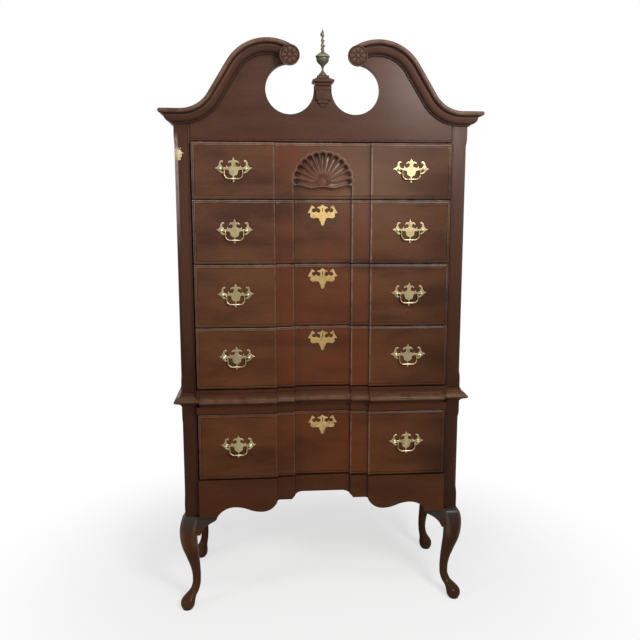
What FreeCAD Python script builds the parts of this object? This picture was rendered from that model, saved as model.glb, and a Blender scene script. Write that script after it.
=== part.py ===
"""Block-front highboy: a tall chest of four drawers on a low case with one drawer and cabriole legs.

Frame: +Z up, the front faces -Y, X = 0 is the centre line and Z = 0 the floor. Sizes are millimetres.
"proud" lengths are measured forwards (towards -Y) from the front plane of the corner stiles.
"""
import FreeCAD, Part

import math
import os
import re

import Sketcher
from FreeCAD import Placement, Rotation, Vector

SIZES = {
    # case
    "case_half": 465,
    "case_depth": 400,
    "front_y": -177,
    "side_thick": 18,
    "board_thick": 18,
    "back_thick": 6,
    # corner stiles
    "stile_wide": 50,
    "stile_thick": 22,
    "bead_wide": 7,
    "chamfer_wide": 12,
    "chamfer_tongue": 36,
    "chamfer_top_stop": 30,
    "chamfer_low_stop": 45,
    # heights, from the floor up
    "leg_tall": 334,
    "apron_tall": 133,
    "low_drawer_tall": 224,
    "waist_rail_tall": 26,
    "waist_deck_tall": 28,
    "waist_lip_tall": 17,
    "base_rail_tall": 30,
    "drawer_tall": 204.3,
    "top_drawer_tall": 178,
    "top_bead_gap": 1.5,
    "frieze_tall": 45,
    "roof_drop": 18,
    # plan of the block fronts
    "block_proud": 20,
    "block_step": 13,
    "recess_step": 14,
    "block_inner": 153,
    "recess_half": 93,
    "step_cove": 10,
    # drawers
    "seam": 3,
    "drawer_side_gap": 3,
    "lip_thick": 16,
    "lip_fall": 4,
    "lip_wide": 9,
    "front_back": 30,
    "lip_gap": 0.3,
    "plug_gap": 1.5,
    "box_back_gap": 14,
    "box_gap": 9,
    "box_top_gap": 8,
    "box_thick": 12,
    "box_bottom_thick": 6,
    "box_bottom_up": 10,
    "groove_deep": 5,
    "rest_gap": 0.3,
    # drawer rails and runners
    "rail_tall": 18,
    "rail_deep": 44,
    "runner_wide": 62,
    "guide_tall": 12,
    "guide_gap": 1,
    # pediment
    "pediment_thick": 22,
    "scroll_rise": 210,
    "scroll_peak_x": 171,
    "cornice_out": 42,
    "cornice_tall": 43,
    "sweep_start_in": 25,
    "sweep_radius": 100,
    "sweep_angle": 58,
    "board_below_scroll": 4,
    "rosette_x": 104.6,
    "rosette_drop": 34.7,
    "rosette_radius": 31,
    "rosette_proud": 46,
    "rosette_core_in": 8,
    "rosette_gap": 0.2,
    "circle_x": 103.3,
    "circle_up": 65.8,
    "circle_radius": 76,
    "neck_up": 75.6,
    # finial
    "finial_forward": 4,
    "cap_half": 34,
    "cap_tall": 31,
    "corbel_half": 22.5,
    "corbel_proud": 10,
    "corbel_block": 13.5,
    "corbel_tall": 42,
    "corbel_tail": 22,
    "urn_tall": 75,
    "urn_radius": 22.8,
    "flame_tall": 65,
    "flame_radius": 8.3,
    "flame_twist": 540,
    # waist moulding
    "waist_out": 24,
    "waist_step_in": 19,
    "waist_frame": 60,
    "waist_lap": 20,
    # apron outline
    "arch_up": 74,
    "arch_half": 66,
    "corner_up": 52,
    "shelf_half": 104,
    "lobe_up": 16,
    "lobe_x": 205,
    "rise_up": 35,
    "rise_in": 118,
    "apron_end_in": 58,
    "apron_back": 30,
    "side_arch_up": 34,
    "side_arch_end": 95,
    # legs
    "leg_block": 50,
    "knee_out": 16,
    "ankle_in": 5,
    "foot_out": 24,
    "rear_foot_out": 10,
    "ankle_half": 14.2,
    "knee_half": 28.5,
    "foot_half": 23.5,
    "pad_half": 15,
    "bracket_tall": 80,
    "bracket_long": 58,
    "bracket_thick": 26,
    # pulls
    "pull_shift": 1.5,
    "pull_rise": 6,
    "post_half": 40,
    "plate_thick": 1.6,
    "post_shank": 2.4,
    "shank_gap": 0.1,
    "post_neck": 3.4,
    "post_head": 4.8,
    "post_long": 13,
    "nut_radius": 6,
    "nut_thick": 4,
    "bail_wire": 2.1,
    "bail_drop": 31,
    "bail_half": 28.5,
    "bail_foot_half": 19,
    "pin_radius": 1.6,
    "pin_gap": 0.05,
    "pin_depth": 2.4,
    "escutcheon_drop": 42,
    # shell
    "shell_up": 40,
    "shell_wave": 5,
}

# Places worked out from the sizes, each from those above it.
PLACES = {
    "low_seam": "leg_tall + apron_tall",
    "low_drawer_top": "low_seam + low_drawer_tall",
    "deck_low": "low_drawer_top + waist_rail_tall",
    "deck_top": "deck_low + waist_deck_tall",
    "seam_four": "deck_top + base_rail_tall",
    "seam_three": "seam_four + drawer_tall",
    "seam_two": "seam_three + drawer_tall",
    "seam_one": "seam_two + drawer_tall",
    "seam_top": "seam_one + top_drawer_tall",
    "frieze_low": "seam_top + top_bead_gap + bead_wide",
    "cornice_low": "frieze_low + frieze_tall",
    "cornice_top": "cornice_low + cornice_tall",
    "case_top": "cornice_top - roof_drop",
    "scroll_top": "cornice_top + scroll_rise",
    "circle_z": "cornice_top + circle_up",
    "back_y": "front_y + case_depth",
    "side_inner": "case_half - side_thick",
    "opening_half": "case_half - stile_wide",
    "front_half": "opening_half - drawer_side_gap",
    "box_half": "front_half - box_gap",
    "panel_y": "back_y - back_thick",
    "stile_back": "front_y + stile_thick",
    "rail_front": "front_y + lip_thick + lip_gap",
    "rail_back": "rail_front + rail_deep",
    "box_front": "front_y + front_back",
    "box_back": "panel_y - box_back_gap",
    "middle_proud": "block_proud - block_step",
    "recess_proud": "middle_proud - recess_step",
    "pull_x": "(block_inner + front_half) / 2 - pull_shift",
    "neck_top": "cornice_top + neck_up",
    "urn_low": "neck_top + cap_tall",
    "flame_low": "urn_low + urn_tall",
    "finial_y": "front_y + pediment_thick / 2 - finial_forward",
}

doc = FreeCAD.newDocument("Highboy")


def fill_sheet(label, rows):
    """A spreadsheet with a name and a value in each row."""
    made = doc.addObject("Spreadsheet::Sheet", label)
    for row, (alias, content) in enumerate(rows.items(), start=1):
        made.set(f"A{row}", alias)
        made.set(f"B{row}", content)
        made.setAlias(f"B{row}", alias)
    doc.recompute()
    return made


def bound(text):
    """An expression with every size and place name led by its sheet's name."""
    def lead(match):
        word = match.group(0)
        if word in SIZES:
            return f"Sizes.{word}"
        return f"Places.{word}" if word in PLACES else word
    return re.sub(r"[a-z_]+", lead, str(text))


fill_sheet("Sizes", {alias: str(value) for alias, value in SIZES.items()})
fill_sheet("Places", {alias: "=" + bound(text).replace("Places.", "") for alias, text in PLACES.items()})
reader = doc.getObject("Sizes")


def at(text):
    """The number that an expression of size and place names stands for."""
    return float(reader.evalExpression(bound(text)))


# ---------------------------------------------------------------- building helpers

NODES = []


def keep(piece, label):
    """Names a finished sub-part, which is written to its own file at the end."""
    piece.Label = label
    NODES.append(piece)
    return piece


def solid_feature(label, shape):
    """A sub-part whose shape is made by Part functions from the sheet's sizes."""
    feature = doc.addObject("Part::Feature", label)
    feature.Shape = shape
    feature.Placement = shape.Placement
    return feature


def board(label, across, deep, tall):
    """A plain board between two places along each of X, Y and Z."""
    box = doc.addObject("Part::Box", label)
    for length, axis, (low, high) in (
        ("Length", "x", across),
        ("Width", "y", deep),
        ("Height", "z", tall),
    ):
        box.setExpression(length, bound(f"({high}) - ({low})"))
        box.setExpression(f"Placement.Base.{axis}", bound(low))
    return box


def group(label, pieces):
    """Several separate solids that share one node."""
    joined = doc.addObject("Part::Compound", label)
    joined.Links = pieces
    return joined


def mirrored(label, source):
    """The same piece on the other side of the centre line."""
    twin = doc.addObject("Part::Mirroring", label)
    twin.Source = source
    twin.Normal = Vector(1, 0, 0)
    return twin


def cut(label, base, tool):
    """base with tool taken away."""
    remainder = doc.addObject("Part::Cut", label)
    remainder.Base = base
    remainder.Tool = tool
    return remainder


def new_sketch(body, label, plane, offset="0"):
    """An empty sketch on one of the body's origin planes, moved along the plane's normal."""
    sketch = body.newObject("Sketcher::SketchObject", label)
    support = next(item for item in body.Origin.OriginFeatures if item.Role == plane)
    sketch.AttachmentSupport = [(support, "")]
    sketch.MapMode = "FlatFace"
    sketch.setExpression("AttachmentOffset.Base.z", bound(offset))
    return sketch


def pin_value(sketch, kind, target, text):
    """A driving constraint on a point or circle, bound to an expression."""
    number = sketch.addConstraint(Sketcher.Constraint(kind, *target, at(text)))
    name = f"driven_{number}"
    sketch.renameConstraint(number, name)
    sketch.setExpression(f"Constraints.{name}", bound(text))


def draw_outline(sketch, corners, arcs=None, closed=True):
    """Lines through the corners; arcs gives, by side number, a centre and the turn to left or right."""
    arcs = arcs or {}
    values = [(at(u), at(v)) for u, v in corners]
    ends = []
    for side in range(len(values) if closed else len(values) - 1):
        start, finish = values[side], values[(side + 1) % len(values)]
        if side not in arcs:
            line = Part.LineSegment(Vector(*start, 0), Vector(*finish, 0))
            curve = sketch.addGeometry(line, False)
            ends.append(((curve, 1), (curve, 2)))
            continue
        (centre_u, centre_v), turn = arcs[side]
        centre = Vector(at(centre_u), at(centre_v), 0)
        first, last = (start, finish) if turn == "left" else (finish, start)
        low = math.atan2(first[1] - centre.y, first[0] - centre.x)
        high = math.atan2(last[1] - centre.y, last[0] - centre.x)
        circle = Part.Circle(centre, Vector(0, 0, 1), math.dist(start, (centre.x, centre.y)))
        high = high if high > low else high + 2 * math.pi
        curve = sketch.addGeometry(Part.ArcOfCircle(circle, low, high), False)
        ends.append(((curve, 1), (curve, 2)) if turn == "left" else ((curve, 2), (curve, 1)))
        wide, tall = (abs(last - first) for first, last in zip(start, finish))
        held = ("DistanceY", centre_v) if wide >= tall else ("DistanceX", centre_u)
        pin_value(sketch, held[0], (-1, 1, curve, 3), held[1])
    for side in range(1, len(ends)):
        sketch.addConstraint(Sketcher.Constraint("Coincident", *ends[side - 1][1], *ends[side][0]))
    if closed:
        sketch.addConstraint(Sketcher.Constraint("Coincident", *ends[-1][1], *ends[0][0]))
    points = [start for start, _ in ends] + ([] if closed else [ends[-1][1]])
    for point, (u, v) in zip(points, corners):
        pin_value(sketch, "DistanceX", (-1, 1, *point), u)
        pin_value(sketch, "DistanceY", (-1, 1, *point), v)


def draw_circle(sketch, centre_u, centre_v, radius):
    """A circle at a bound centre."""
    circle = Part.Circle(Vector(at(centre_u), at(centre_v), 0), Vector(0, 0, 1), at(radius))
    curve = sketch.addGeometry(circle, False)
    pin_value(sketch, "DistanceX", (-1, 1, curve, 3), centre_u)
    pin_value(sketch, "DistanceY", (-1, 1, curve, 3), centre_v)
    pin_value(sketch, "Radius", (curve,), radius)


def padded(label, plane, corners, length, offset="0", arcs=None, backwards=False):
    """A PartDesign body: one outline padded to a length."""
    body = doc.addObject("PartDesign::Body", label)
    sketch = new_sketch(body, f"{label}_outline", plane, offset)
    draw_outline(sketch, corners, arcs)
    pad = body.newObject("PartDesign::Pad", f"{label}_pad")
    pad.Profile = sketch
    pad.setExpression("Length", bound(length))
    pad.Reversed = backwards
    return body


def turned(label, corners, arcs=None):
    """A PartDesign body: an outline in radius and height, revolved about the Z axis."""
    body = doc.addObject("PartDesign::Body", label)
    sketch = new_sketch(body, f"{label}_outline", "XZ_Plane")
    draw_outline(sketch, corners, arcs)
    spin = body.newObject("PartDesign::Revolution", f"{label}_turning")
    spin.Profile = sketch
    spin.ReferenceAxis = (sketch, ["V_Axis"])
    spin.Angle = 360
    return body


def copy_at(label, source, x, y, z, rotation=Rotation()):
    """A copy of a finished shape at another place."""
    feature = doc.addObject("Part::Feature", label)
    feature.Shape = source.Shape
    feature.Placement = Placement(Vector(x, y, z), rotation)
    return feature


def copy_shape(shape, place):
    """A moved copy of a shape."""
    twin = shape.copy()
    twin.translate(place)
    return twin


# ---------------------------------------------------------------- block-front plan

def plan_edges(lead, half, z, recessed=True, returned=False):
    """Edges of the blocked front at height z, from left to right.

    lead is how far the line stands in front of the drawers' own line. A front that isn't recessed
    stays at the middle level across its centre. A returned front falls back to the stiles' plane.
    """
    cove = at("step_cove")
    block, middle, recess = at("block_proud"), at("middle_proud"), at("recess_proud")
    steps = [(at("block_inner"), middle, block)]
    if recessed:
        steps.insert(0, (at("recess_half"), recess, middle))
    points, kinds = [], []
    for edge, low, high in steps:
        nose = high - low - cove
        points += [(edge - cove, low), (edge, low + cove), (edge + nose, high)]
        kinds += ["line", ((edge - cove, low + cove), cove, -45), ((edge + nose, low + cove), nose, 135)]
    if returned:
        step = at("opening_half - waist_step_in")
        fall = block / 2
        points += [(step, block), (step + fall, fall), (step + block, 0)]
        kinds += ["line", ((step, fall), fall, 45), ((step + block, fall), fall, -135)]
        points.append((half, 0))
    else:
        points.append((half, block))
    kinds.append("line")

    def place(x, proud):
        return Vector(x, at("front_y") - proud - lead, z)

    right = []
    start = (0, recess if recessed else middle)
    for point, kind in zip(points, kinds):
        if kind == "line":
            right.append((start, None, point))
        else:
            (cx, cf), radius, angle = kind
            turn = math.radians(angle)
            right.append((start, (cx + radius * math.cos(turn), cf + radius * math.sin(turn)), point))
        start = point
    edges = []
    for side in (-1, 1):
        run = right if side == 1 else [(c, b, a) for a, b, c in reversed(right)]
        for first, middle_point, last in run:
            ends = [place(side * x, f) for x, f in (first, last)]
            if middle_point is None:
                edges.append(Part.LineSegment(*ends).toShape())
            else:
                bend = place(side * middle_point[0], middle_point[1])
                edges.append(Part.Arc(ends[0], bend, ends[1]).toShape())
    return edges


def plan_wire(lead, half, z, back_y, side_fall=None, **kind):
    """The closed plan of a blocked piece: the front line, the two ends and a straight back."""
    edges = plan_edges(lead, half, z, **kind)
    left, right = edges[0].firstVertex(True).Point, edges[-1].lastVertex(True).Point
    corners = [right]
    if side_fall:
        width, depth = side_fall
        corners.append(right + Vector(width, depth, 0))
    corners.append(Vector(corners[-1].x, back_y, z))
    corners += [Vector(-corner.x, corner.y, z) for corner in reversed(corners)]
    for first, last in zip(corners, corners[1:]):
        if (last - first).Length > 1e-6:
            edges.append(Part.LineSegment(first, last).toShape())
    return Part.Wire(edges)


def stacked(wires):
    """A solid through plan outlines one above another, straight from each to the next."""
    return Part.makeLoft(wires, True, True)


def block_rail(low, high, back_y, half):
    """A straight length of the blocked front between two heights."""
    base = Part.Face(plan_wire(0, half, low, back_y))
    return base.extrude(Vector(0, 0, high - low))


def box_between(x, y, z):
    """A cutting block between two places along each axis."""
    return Part.makeBox(x[1] - x[0], y[1] - y[0], z[1] - z[0], Vector(x[0], y[0], z[0]))


# ---------------------------------------------------------------- corner stiles and side boards

def chamfer_cutter(low, high):
    """The wedge that a stopped chamfer takes off the outer front corner, with lamb's tongue ends."""
    deep = at("chamfer_wide") / math.sqrt(2)
    tongue = at("chamfer_tongue")
    half = at("chamfer_wide") * 2
    corner = Vector(at("case_half"), at("front_y"), 0)
    outward = Vector(1, -1, 0).normalize()

    def place(depth, z):
        return corner - outward * depth + Vector(0, 0, z)

    def tongue_curve(stop, run):
        points = [place(deep * share, stop + run * along)
                  for share, along in ((0, 0), (0.10, 0.28), (0.72, 0.72), (1, 1))]
        curve = Part.BSplineCurve()
        curve.interpolate(points, InitialTangent=Vector(0, 0, run), FinalTangent=Vector(0, 0, run))
        return curve.toShape()

    low_curve = tongue_curve(low, tongue)
    high_curve = tongue_curve(high, -tongue)
    outer = [place(-half, low), place(-half, high)]
    edges = [
        low_curve,
        Part.LineSegment(place(deep, low + tongue), place(deep, high - tongue)).toShape(),
        high_curve,
        Part.LineSegment(place(0, high), outer[1]).toShape(),
        Part.LineSegment(outer[1], outer[0]).toShape(),
        Part.LineSegment(outer[0], place(0, low)).toShape(),
    ]
    across = Vector(1, 1, 0).normalize() * half
    face = Part.Face(Part.Wire(Part.__sortEdges__(edges)))
    face.translate(across * -1)
    return face.extrude(across * 2)


def corner_stiles(label, low, high, chamfer_high, bead_high):
    """A pair of front stiles: flat face, inner edge beaded to bead_high, stopped chamfer outside."""
    bead = "bead_wide / 2"
    corners = [
        ("opening_half", "front_y"),
        ("opening_half + bead_wide", "front_y"),
        ("case_half", "front_y"),
        ("case_half", "stile_back"),
        ("opening_half", "stile_back"),
    ]
    arcs = {0: ((f"opening_half + {bead}", "front_y"), "left")}
    stile = padded(f"{label}_square", "XY_Plane", corners, f"{high} - {low}", low, arcs)
    wedge = chamfer_cutter(at(f"{low} + chamfer_low_stop"), chamfer_high)
    inside, front = at("opening_half"), at("front_y")
    plain = box_between((inside - 1, inside + at("bead_wide")), (front - at("bead_wide"), front),
                        (at(bead_high), at(high) + 1))
    waste = solid_feature(f"{label}_waste", Part.Compound([wedge, plain]))
    right = cut(f"{label}_right", stile, waste)
    return keep(group(label, [mirrored(f"{label}_left", right), right]), label)


def side_boards():
    """The four side boards; the lower pair is arched between the legs."""
    for name, sign in (("left", -1), ("right", 1)):
        low, high = ("-case_half", "-side_inner") if sign < 0 else ("side_inner", "case_half")
        keep(board(f"side_board_upper_{name}", (low, high), ("stile_back", "back_y"), ("deck_top", "cornice_top")),
             f"side_board_upper_{name}")
        label = f"side_board_lower_{name}"
        front, back = "stile_back + side_arch_end", "back_y - side_arch_end"
        arch = "leg_tall + side_arch_up"
        corners = [
            ("stile_back", "leg_tall"),
            (f"{front} - side_arch_up", "leg_tall"),
            (front, arch),
            (back, arch),
            (f"{back} + side_arch_up", "leg_tall"),
            ("back_y", "leg_tall"),
            ("back_y", "deck_low"),
            ("stile_back", "deck_low"),
        ]
        arcs = {
            1: ((f"{front} - side_arch_up", arch), "left"),
            3: ((f"{back} + side_arch_up", arch), "left"),
        }
        keep(padded(label, "YZ_Plane", corners, "side_thick", low, arcs), label)


# ---------------------------------------------------------------- case boards, rails and runners

def case_boards():
    """Top and bottom boards of the upper case and the two back panels."""
    inner = ("-side_inner", "side_inner")
    keep(board("top_board", inner, ("stile_back", "back_y"), ("case_top - board_thick", "case_top")), "top_board")
    keep(board("bottom_board", inner, ("rail_back", "panel_y"), ("deck_top", "deck_top + board_thick")),
         "bottom_board")
    panels = [
        board("back_panel_upper", inner, ("panel_y", "back_y"), ("deck_top", "case_top - board_thick")),
        board("back_panel_lower", inner, ("panel_y", "back_y"), ("leg_tall + side_arch_up", "deck_low")),
    ]
    keep(group("back_panels", panels), "back_panels")


def drawer_rails():
    """Rails between the drawers, the beaded rail over the top one and the blocked rails at the waist."""
    across = ("-opening_half", "opening_half")
    half_rail = "rail_tall / 2"
    rails = [
        board(f"rail_{name}", across, ("rail_front", "rail_back"),
              (f"{name} - {half_rail}", f"{name} + {half_rail}"))
        for name in ("seam_three", "seam_two", "seam_one")
    ]
    bead_corners = [
        ("front_y", "seam_top + top_bead_gap"),
        ("rail_back", "seam_top + top_bead_gap"),
        ("rail_back", "frieze_low"),
        ("front_y", "frieze_low"),
    ]
    bead_arc = {3: (("front_y", "seam_top + top_bead_gap + bead_wide / 2"), "left")}
    rails.append(padded("top_bead_rail", "YZ_Plane", bead_corners, "2 * opening_half", "-opening_half", bead_arc))
    rails.append(board("rail_low_seam", across, ("rail_front", "rail_back"),
                       ("low_seam - seam / 2", f"low_seam + {half_rail}")))
    rails.append(board("rail_seam_four", across, ("rail_front", "rail_back"),
                       ("seam_four - seam / 2", f"seam_four + {half_rail}")))
    reach = at("opening_half")
    waist_top = block_rail(at("deck_top"), at("seam_four - seam / 2"), at("rail_back"), reach)
    waist_low = block_rail(at("low_drawer_top + seam / 2"), at("deck_low"), at("rail_back"), reach)
    rails.append(solid_feature("base_rail", waist_top))
    rails.append(solid_feature("waist_rail", waist_low))
    return keep(group("drawer_rails", rails), "drawer_rails")


def drawer_runners():
    """A runner with its guide strip on each side of every drawer."""
    pieces = []
    for seam in ("low_seam", "seam_four", "seam_three", "seam_two", "seam_one"):
        top = f"{seam} + rail_tall / 2"
        bottom = "deck_top + board_thick" if seam == "seam_four" else f"{top} - rail_tall"
        deep = ("rail_back", "panel_y")
        runner = board(f"runner_{seam}", ("side_inner - runner_wide", "side_inner"), deep, (bottom, top))
        guide = board(f"guide_{seam}", ("box_half + guide_gap", "side_inner"), deep, (top, f"{top} + guide_tall"))
        pieces += [mirrored(f"runner_{seam}_left", runner), runner, mirrored(f"guide_{seam}_left", guide), guide]
    return keep(group("drawer_runners", pieces), "drawer_runners")


# ---------------------------------------------------------------- drawers

def shell_ground(low, top, reach):
    """The part of the top drawer that stays at the middle level, above the shell's bracketed edge."""
    edge = low + at("shell_up")
    wave = at("shell_wave")
    side = at("recess_half") + at("recess_step") - at("step_cove") + 1
    heights = (0, wave / 2, -wave, wave, -wave, wave / 2, 0)
    shares = (-1, -0.72, -0.34, 0, 0.34, 0.72, 1)
    points = [Vector(side * share, at("front_y") - reach, edge + height) for share, height in zip(shares, heights)]
    curve = Part.BSplineCurve()
    curve.interpolate(points)
    corners = [points[-1], Vector(side, points[0].y, top), Vector(-side, points[0].y, top), points[0]]
    outline = [curve.toShape()] + [Part.LineSegment(a, b).toShape() for a, b in zip(corners, corners[1:])]
    return Part.Face(Part.Wire(outline)).extrude(Vector(0, 2 * reach, 0))


def drawer_front(low, high, shell=False):
    """A blocked front with bevelled lips that cover the rails and a plug that enters the opening."""
    half, back = at("front_half"), at("box_front")
    fall, wide = at("lip_fall"), at("lip_wide")

    def lipped(**kind):
        levels = ((low, fall), (low + wide, 0), (high - wide, 0), (high, fall))
        return stacked([
            plan_wire(-drop, half - wide, z, back, side_fall=(wide, fall), **kind) for z, drop in levels
        ])

    front = lipped()
    reach = at("front_back") + at("block_proud")
    if shell:
        front = front.fuse(lipped(recessed=False).common(shell_ground(low, high + 1, reach))).removeSplitter()
    lip_back = at("front_y + lip_thick")
    deep = at("rail_tall / 2 + plug_gap - seam / 2")
    for bottom, top in ((low - 1, low + deep), (high - deep, high + 1)):
        front = front.cut(box_between((-half - 1, half + 1), (lip_back, back + 1), (bottom, top)))
    return front


def pull_places(low, high):
    """Centres of the two pulls of a drawer, on the blocks' face."""
    height = (low + high) / 2 + at("pull_rise")
    return [Vector(side * at("pull_x"), at("front_y - block_proud"), height) for side in (-1, 1)]


def drill(shape, radius, entry, depth):
    """shape with a round hole bored along +Y from a point on its face."""
    return shape.cut(Part.makeCylinder(radius, depth + 2, entry - Vector(0, 1, 0), Vector(0, 1, 0)))


def flat_shape(corners):
    """A flat face in the XZ plane through corners given as x and z."""
    points = [Vector(x, 0, z) for x, z in corners]
    return Part.Face(Part.makePolygon(points + [points[0]]))


def disc(x, z, radius):
    """A round flat face in the XZ plane."""
    circle = Part.makeCircle(radius, Vector(x, 0, z), Vector(0, 1, 0))
    return Part.Face(Part.Wire(circle))


def two_discs(x, z, radius):
    """Round flat faces left and right of the centre line."""
    return [disc(x, z, radius), disc(-x, z, radius)]


def fused(shapes):
    """One solid from several that touch or overlap."""
    whole = shapes[0].fuse(shapes[1:]).removeSplitter()
    return whole.Solids[0] if len(whole.Solids) == 1 else whole


def flat_prisms(faces, depth):
    """Each flat face of the XZ plane as a plate; depth is measured along Y."""
    return [face.extrude(Vector(0, depth, 0)) for face in faces]


def flat_plate(metal, holes, depth):
    """A plate from the union of flat faces less the holes; depth is measured along Y."""
    solids = flat_prisms(metal, depth)
    solid = fused(solids) if len(solids) > 1 else solids[0]
    return solid.cut(flat_prisms(holes, depth)) if holes else solid


def scalloped(points):
    """A symmetric flat face; each point of the right half carries the outward bulge of its next edge."""
    edges = []
    for (x0, z0, bulge), (x1, z1, _) in zip(points, points[1:]):
        first, last = Vector(x0, 0, z0), Vector(x1, 0, z1)
        outward = Vector(z0 - z1, 0, x1 - x0).normalize()
        middle = (first + last) * 0.5 + outward * bulge
        for side in (1, -1):
            a, b, c = (Vector(side * point.x, 0, point.z) for point in (first, middle, last))
            curve = Part.Arc(a, b, c) if bulge else Part.LineSegment(a, c)
            edges.append(curve.toShape())
    return Part.Face(Part.Wire(Part.__sortEdges__(edges)))


def pull_plate():
    """Back plate of a pull: vase, crown and spire between two winged bosses that carry the posts."""
    post = at("post_half")
    outline = [
        (0, 34, -0.6), (3.5, 26, -1), (9, 22.5, 1.2), (16.5, 20, 1), (14, 14.5, -1), (6, 12.5, -2.2),
        (13.5, 4, 0), (18.5, 2.6, 0.6), (22.5, 9, 0.6), (27, 2.6, -1), (post - 6, 4, 2.2), (post + 3, 6, -1),
        (post + 4, 13, -1.6), (post - 6, 20.5, 1.4), (post - 2, 25.5, 2.4), (post + 10, 16, 1.2),
        (post + 17, 1, 0.8), (post + 9, -5, 1), (post + 2, -11.5, 1.2), (post - 5.5, -15, 0.8),
        (post - 9, -9, -0.8), (post - 10, -2.6, 0), (17, -2.6, 0), (14.3, -8, 0.8), (10.5, -18, 1.2),
        (2.6, -25, -0.4), (1.8, -35, 1), (3.2, -38.5, 1.4), (0, -41, 0),
    ]
    holes = two_discs(post, 0, at("post_shank + shank_gap"))
    return flat_plate([scalloped(outline)], holes, -at("plate_thick"))


def escutcheon_plate():
    """Pierced keyhole plate: a spired crown between two horned wings over a lobed apron and a tail."""
    outline = [
        (0, 28, -0.8), (4.5, 22, -0.6), (10, 20.5, 0.6), (17.5, 18, -1), (11, 12.5, -0.8), (8, 6, -1.6),
        (13, 1, -1.6), (18, 6, -1), (23, 12.5, 0.8), (30, 15.5, -0.8), (35, 24.5, -1), (42, 11, 1), (48, 0, 0.6),
        (42, -2, -1), (40, -8.5, 1.4), (35, -16, 1.2), (24, -17, -0.6), (12.5, -17.5, -0.8), (8.5, -26, -0.6),
        (6, -34, 0.8), (0, -40, 0),
    ]
    holes = two_discs(30, 6, 5)
    holes += [disc(0, 15, 2.6), flat_shape([(-1.3, 15), (1.3, 15), (1.7, 4), (-1.7, 4)])]
    return flat_plate([scalloped(outline)], holes, -at("plate_thick"))


def pull_post():
    """A turned post: nut, shank through the drawer front, collar, neck and head, along +Z."""
    grip = "block_proud + front_back"
    corners = [
        ("0", f"-({grip}) - nut_thick"),
        ("nut_radius", f"-({grip}) - nut_thick"),
        ("nut_radius", f"-({grip})"),
        ("post_shank", f"-({grip})"),
        ("post_shank", "plate_thick"),
        ("post_head", "plate_thick"),
        ("post_head", "plate_thick + 1.5"),
        ("post_neck", "plate_thick + 3"),
        ("post_neck", "post_long - 2 * post_head + 1.2"),
        ("post_head", "post_long - post_head - 1.5"),
        ("post_head", "post_long - post_head + 1.5"),
        ("2", "post_long"),
        ("0", "post_long"),
    ]
    return turned("pull_post", corners)


def bail_master():
    """A bail: bent wire hanging from two thinner pins that turn in the posts."""
    body = doc.addObject("PartDesign::Body", "bail_wire_form")
    shoulder = "post_half - post_head - 0.5"
    bend, low_bend = "(post_half - post_head - 0.5 - bail_half - 0.7)", "(bail_half - bail_foot_half + 5)"
    foot = f"bail_half - {low_bend}"
    right = [
        (foot, "-bail_drop"),
        ("bail_half", f"-bail_drop + {low_bend}"),
        ("bail_half", f"-{bend}"),
        (f"bail_half + {bend}", "0"),
        (shoulder, "0"),
    ]
    left = [(f"-({u})", v) for u, v in reversed(right)]
    path = left + right
    arcs = {
        1: ((f"-(bail_half + {bend})", f"-{bend}"), "right"),
        3: ((f"-({foot})", f"-bail_drop + {low_bend}"), "left"),
        5: ((foot, f"-bail_drop + {low_bend}"), "left"),
        7: ((f"bail_half + {bend}", f"-{bend}"), "right"),
    }
    spine = new_sketch(body, "bail_path", "XZ_Plane")
    draw_outline(spine, path, arcs, closed=False)
    section = new_sketch(body, "bail_section", "YZ_Plane", f"-({shoulder})")
    draw_circle(section, "0", "0", "bail_wire")
    wire = body.newObject("PartDesign::AdditivePipe", "bail_pipe")
    wire.Profile = section
    wire.Spine = (spine, [])
    for side, offset in (("left", f"-({shoulder}) - pin_depth - 0.5"), ("right", shoulder)):
        end = new_sketch(body, f"bail_pin_{side}", "YZ_Plane", offset)
        draw_circle(end, "0", "0", "pin_radius")
        pin = body.newObject("PartDesign::Pad", f"bail_pin_pad_{side}")
        pin.Profile = end
        pin.setExpression("Length", bound("pin_depth + 0.5"))
    return body


def drawers():
    """Five drawers with their boxes, brasses and bails."""
    post, bail = pull_post(), bail_master()
    doc.recompute()
    forwards = Rotation(Vector(1, 0, 0), 90)
    plate, escutcheon = pull_plate(), escutcheon_plate()
    rows = (
        ("seam_one", "seam_top"),
        ("seam_two", "seam_one"),
        ("seam_three", "seam_two"),
        ("seam_four", "seam_three"),
        ("low_seam", "low_drawer_top"),
    )
    for number, (low_seam, high_seam) in enumerate(rows, start=1):
        name = f"drawer_{number}"
        low, high = at(f"{low_seam} + seam / 2"), at(f"{high_seam} - seam / 2")
        front = drawer_front(low, high, shell=number == 1)
        plates, posts = [], []
        for side, centre in zip(("left", "right"), pull_places(low, high)):
            plates.append(copy_shape(plate, centre))
            for step in (-at("post_half"), at("post_half")):
                foot = centre + Vector(step, 0, 0)
                grip = at("block_proud + front_back")
                front = drill(front, at("post_shank + shank_gap"), foot, grip)
                posts.append(bored_post(post.Shape, foot, forwards, -step))
            pivot = centre - Vector(0, at("post_long - post_head"), 0)
            swing = copy_at(f"{name}_bail_{side}", bail, *pivot)
            keep(swing, f"{name}_bail_{side}")
        keep(solid_feature(f"{name}_pull_mounts", Part.Compound(plates + posts)), f"{name}_pull_mounts")
        if number > 1:
            seat = Vector(0, at("front_y - recess_proud"), at(f"{high_seam} - escutcheon_drop"))
            key = seat + Vector(0, 0, 15)
            front = drill(front, 2.2, key, at("front_back + recess_proud"))
            keep(solid_feature(f"{name}_escutcheon", copy_shape(escutcheon, seat)), f"{name}_escutcheon")
        keep(solid_feature(f"{name}_front", front), f"{name}_front")
        drawer_box(name, low_seam, high_seam)


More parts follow.
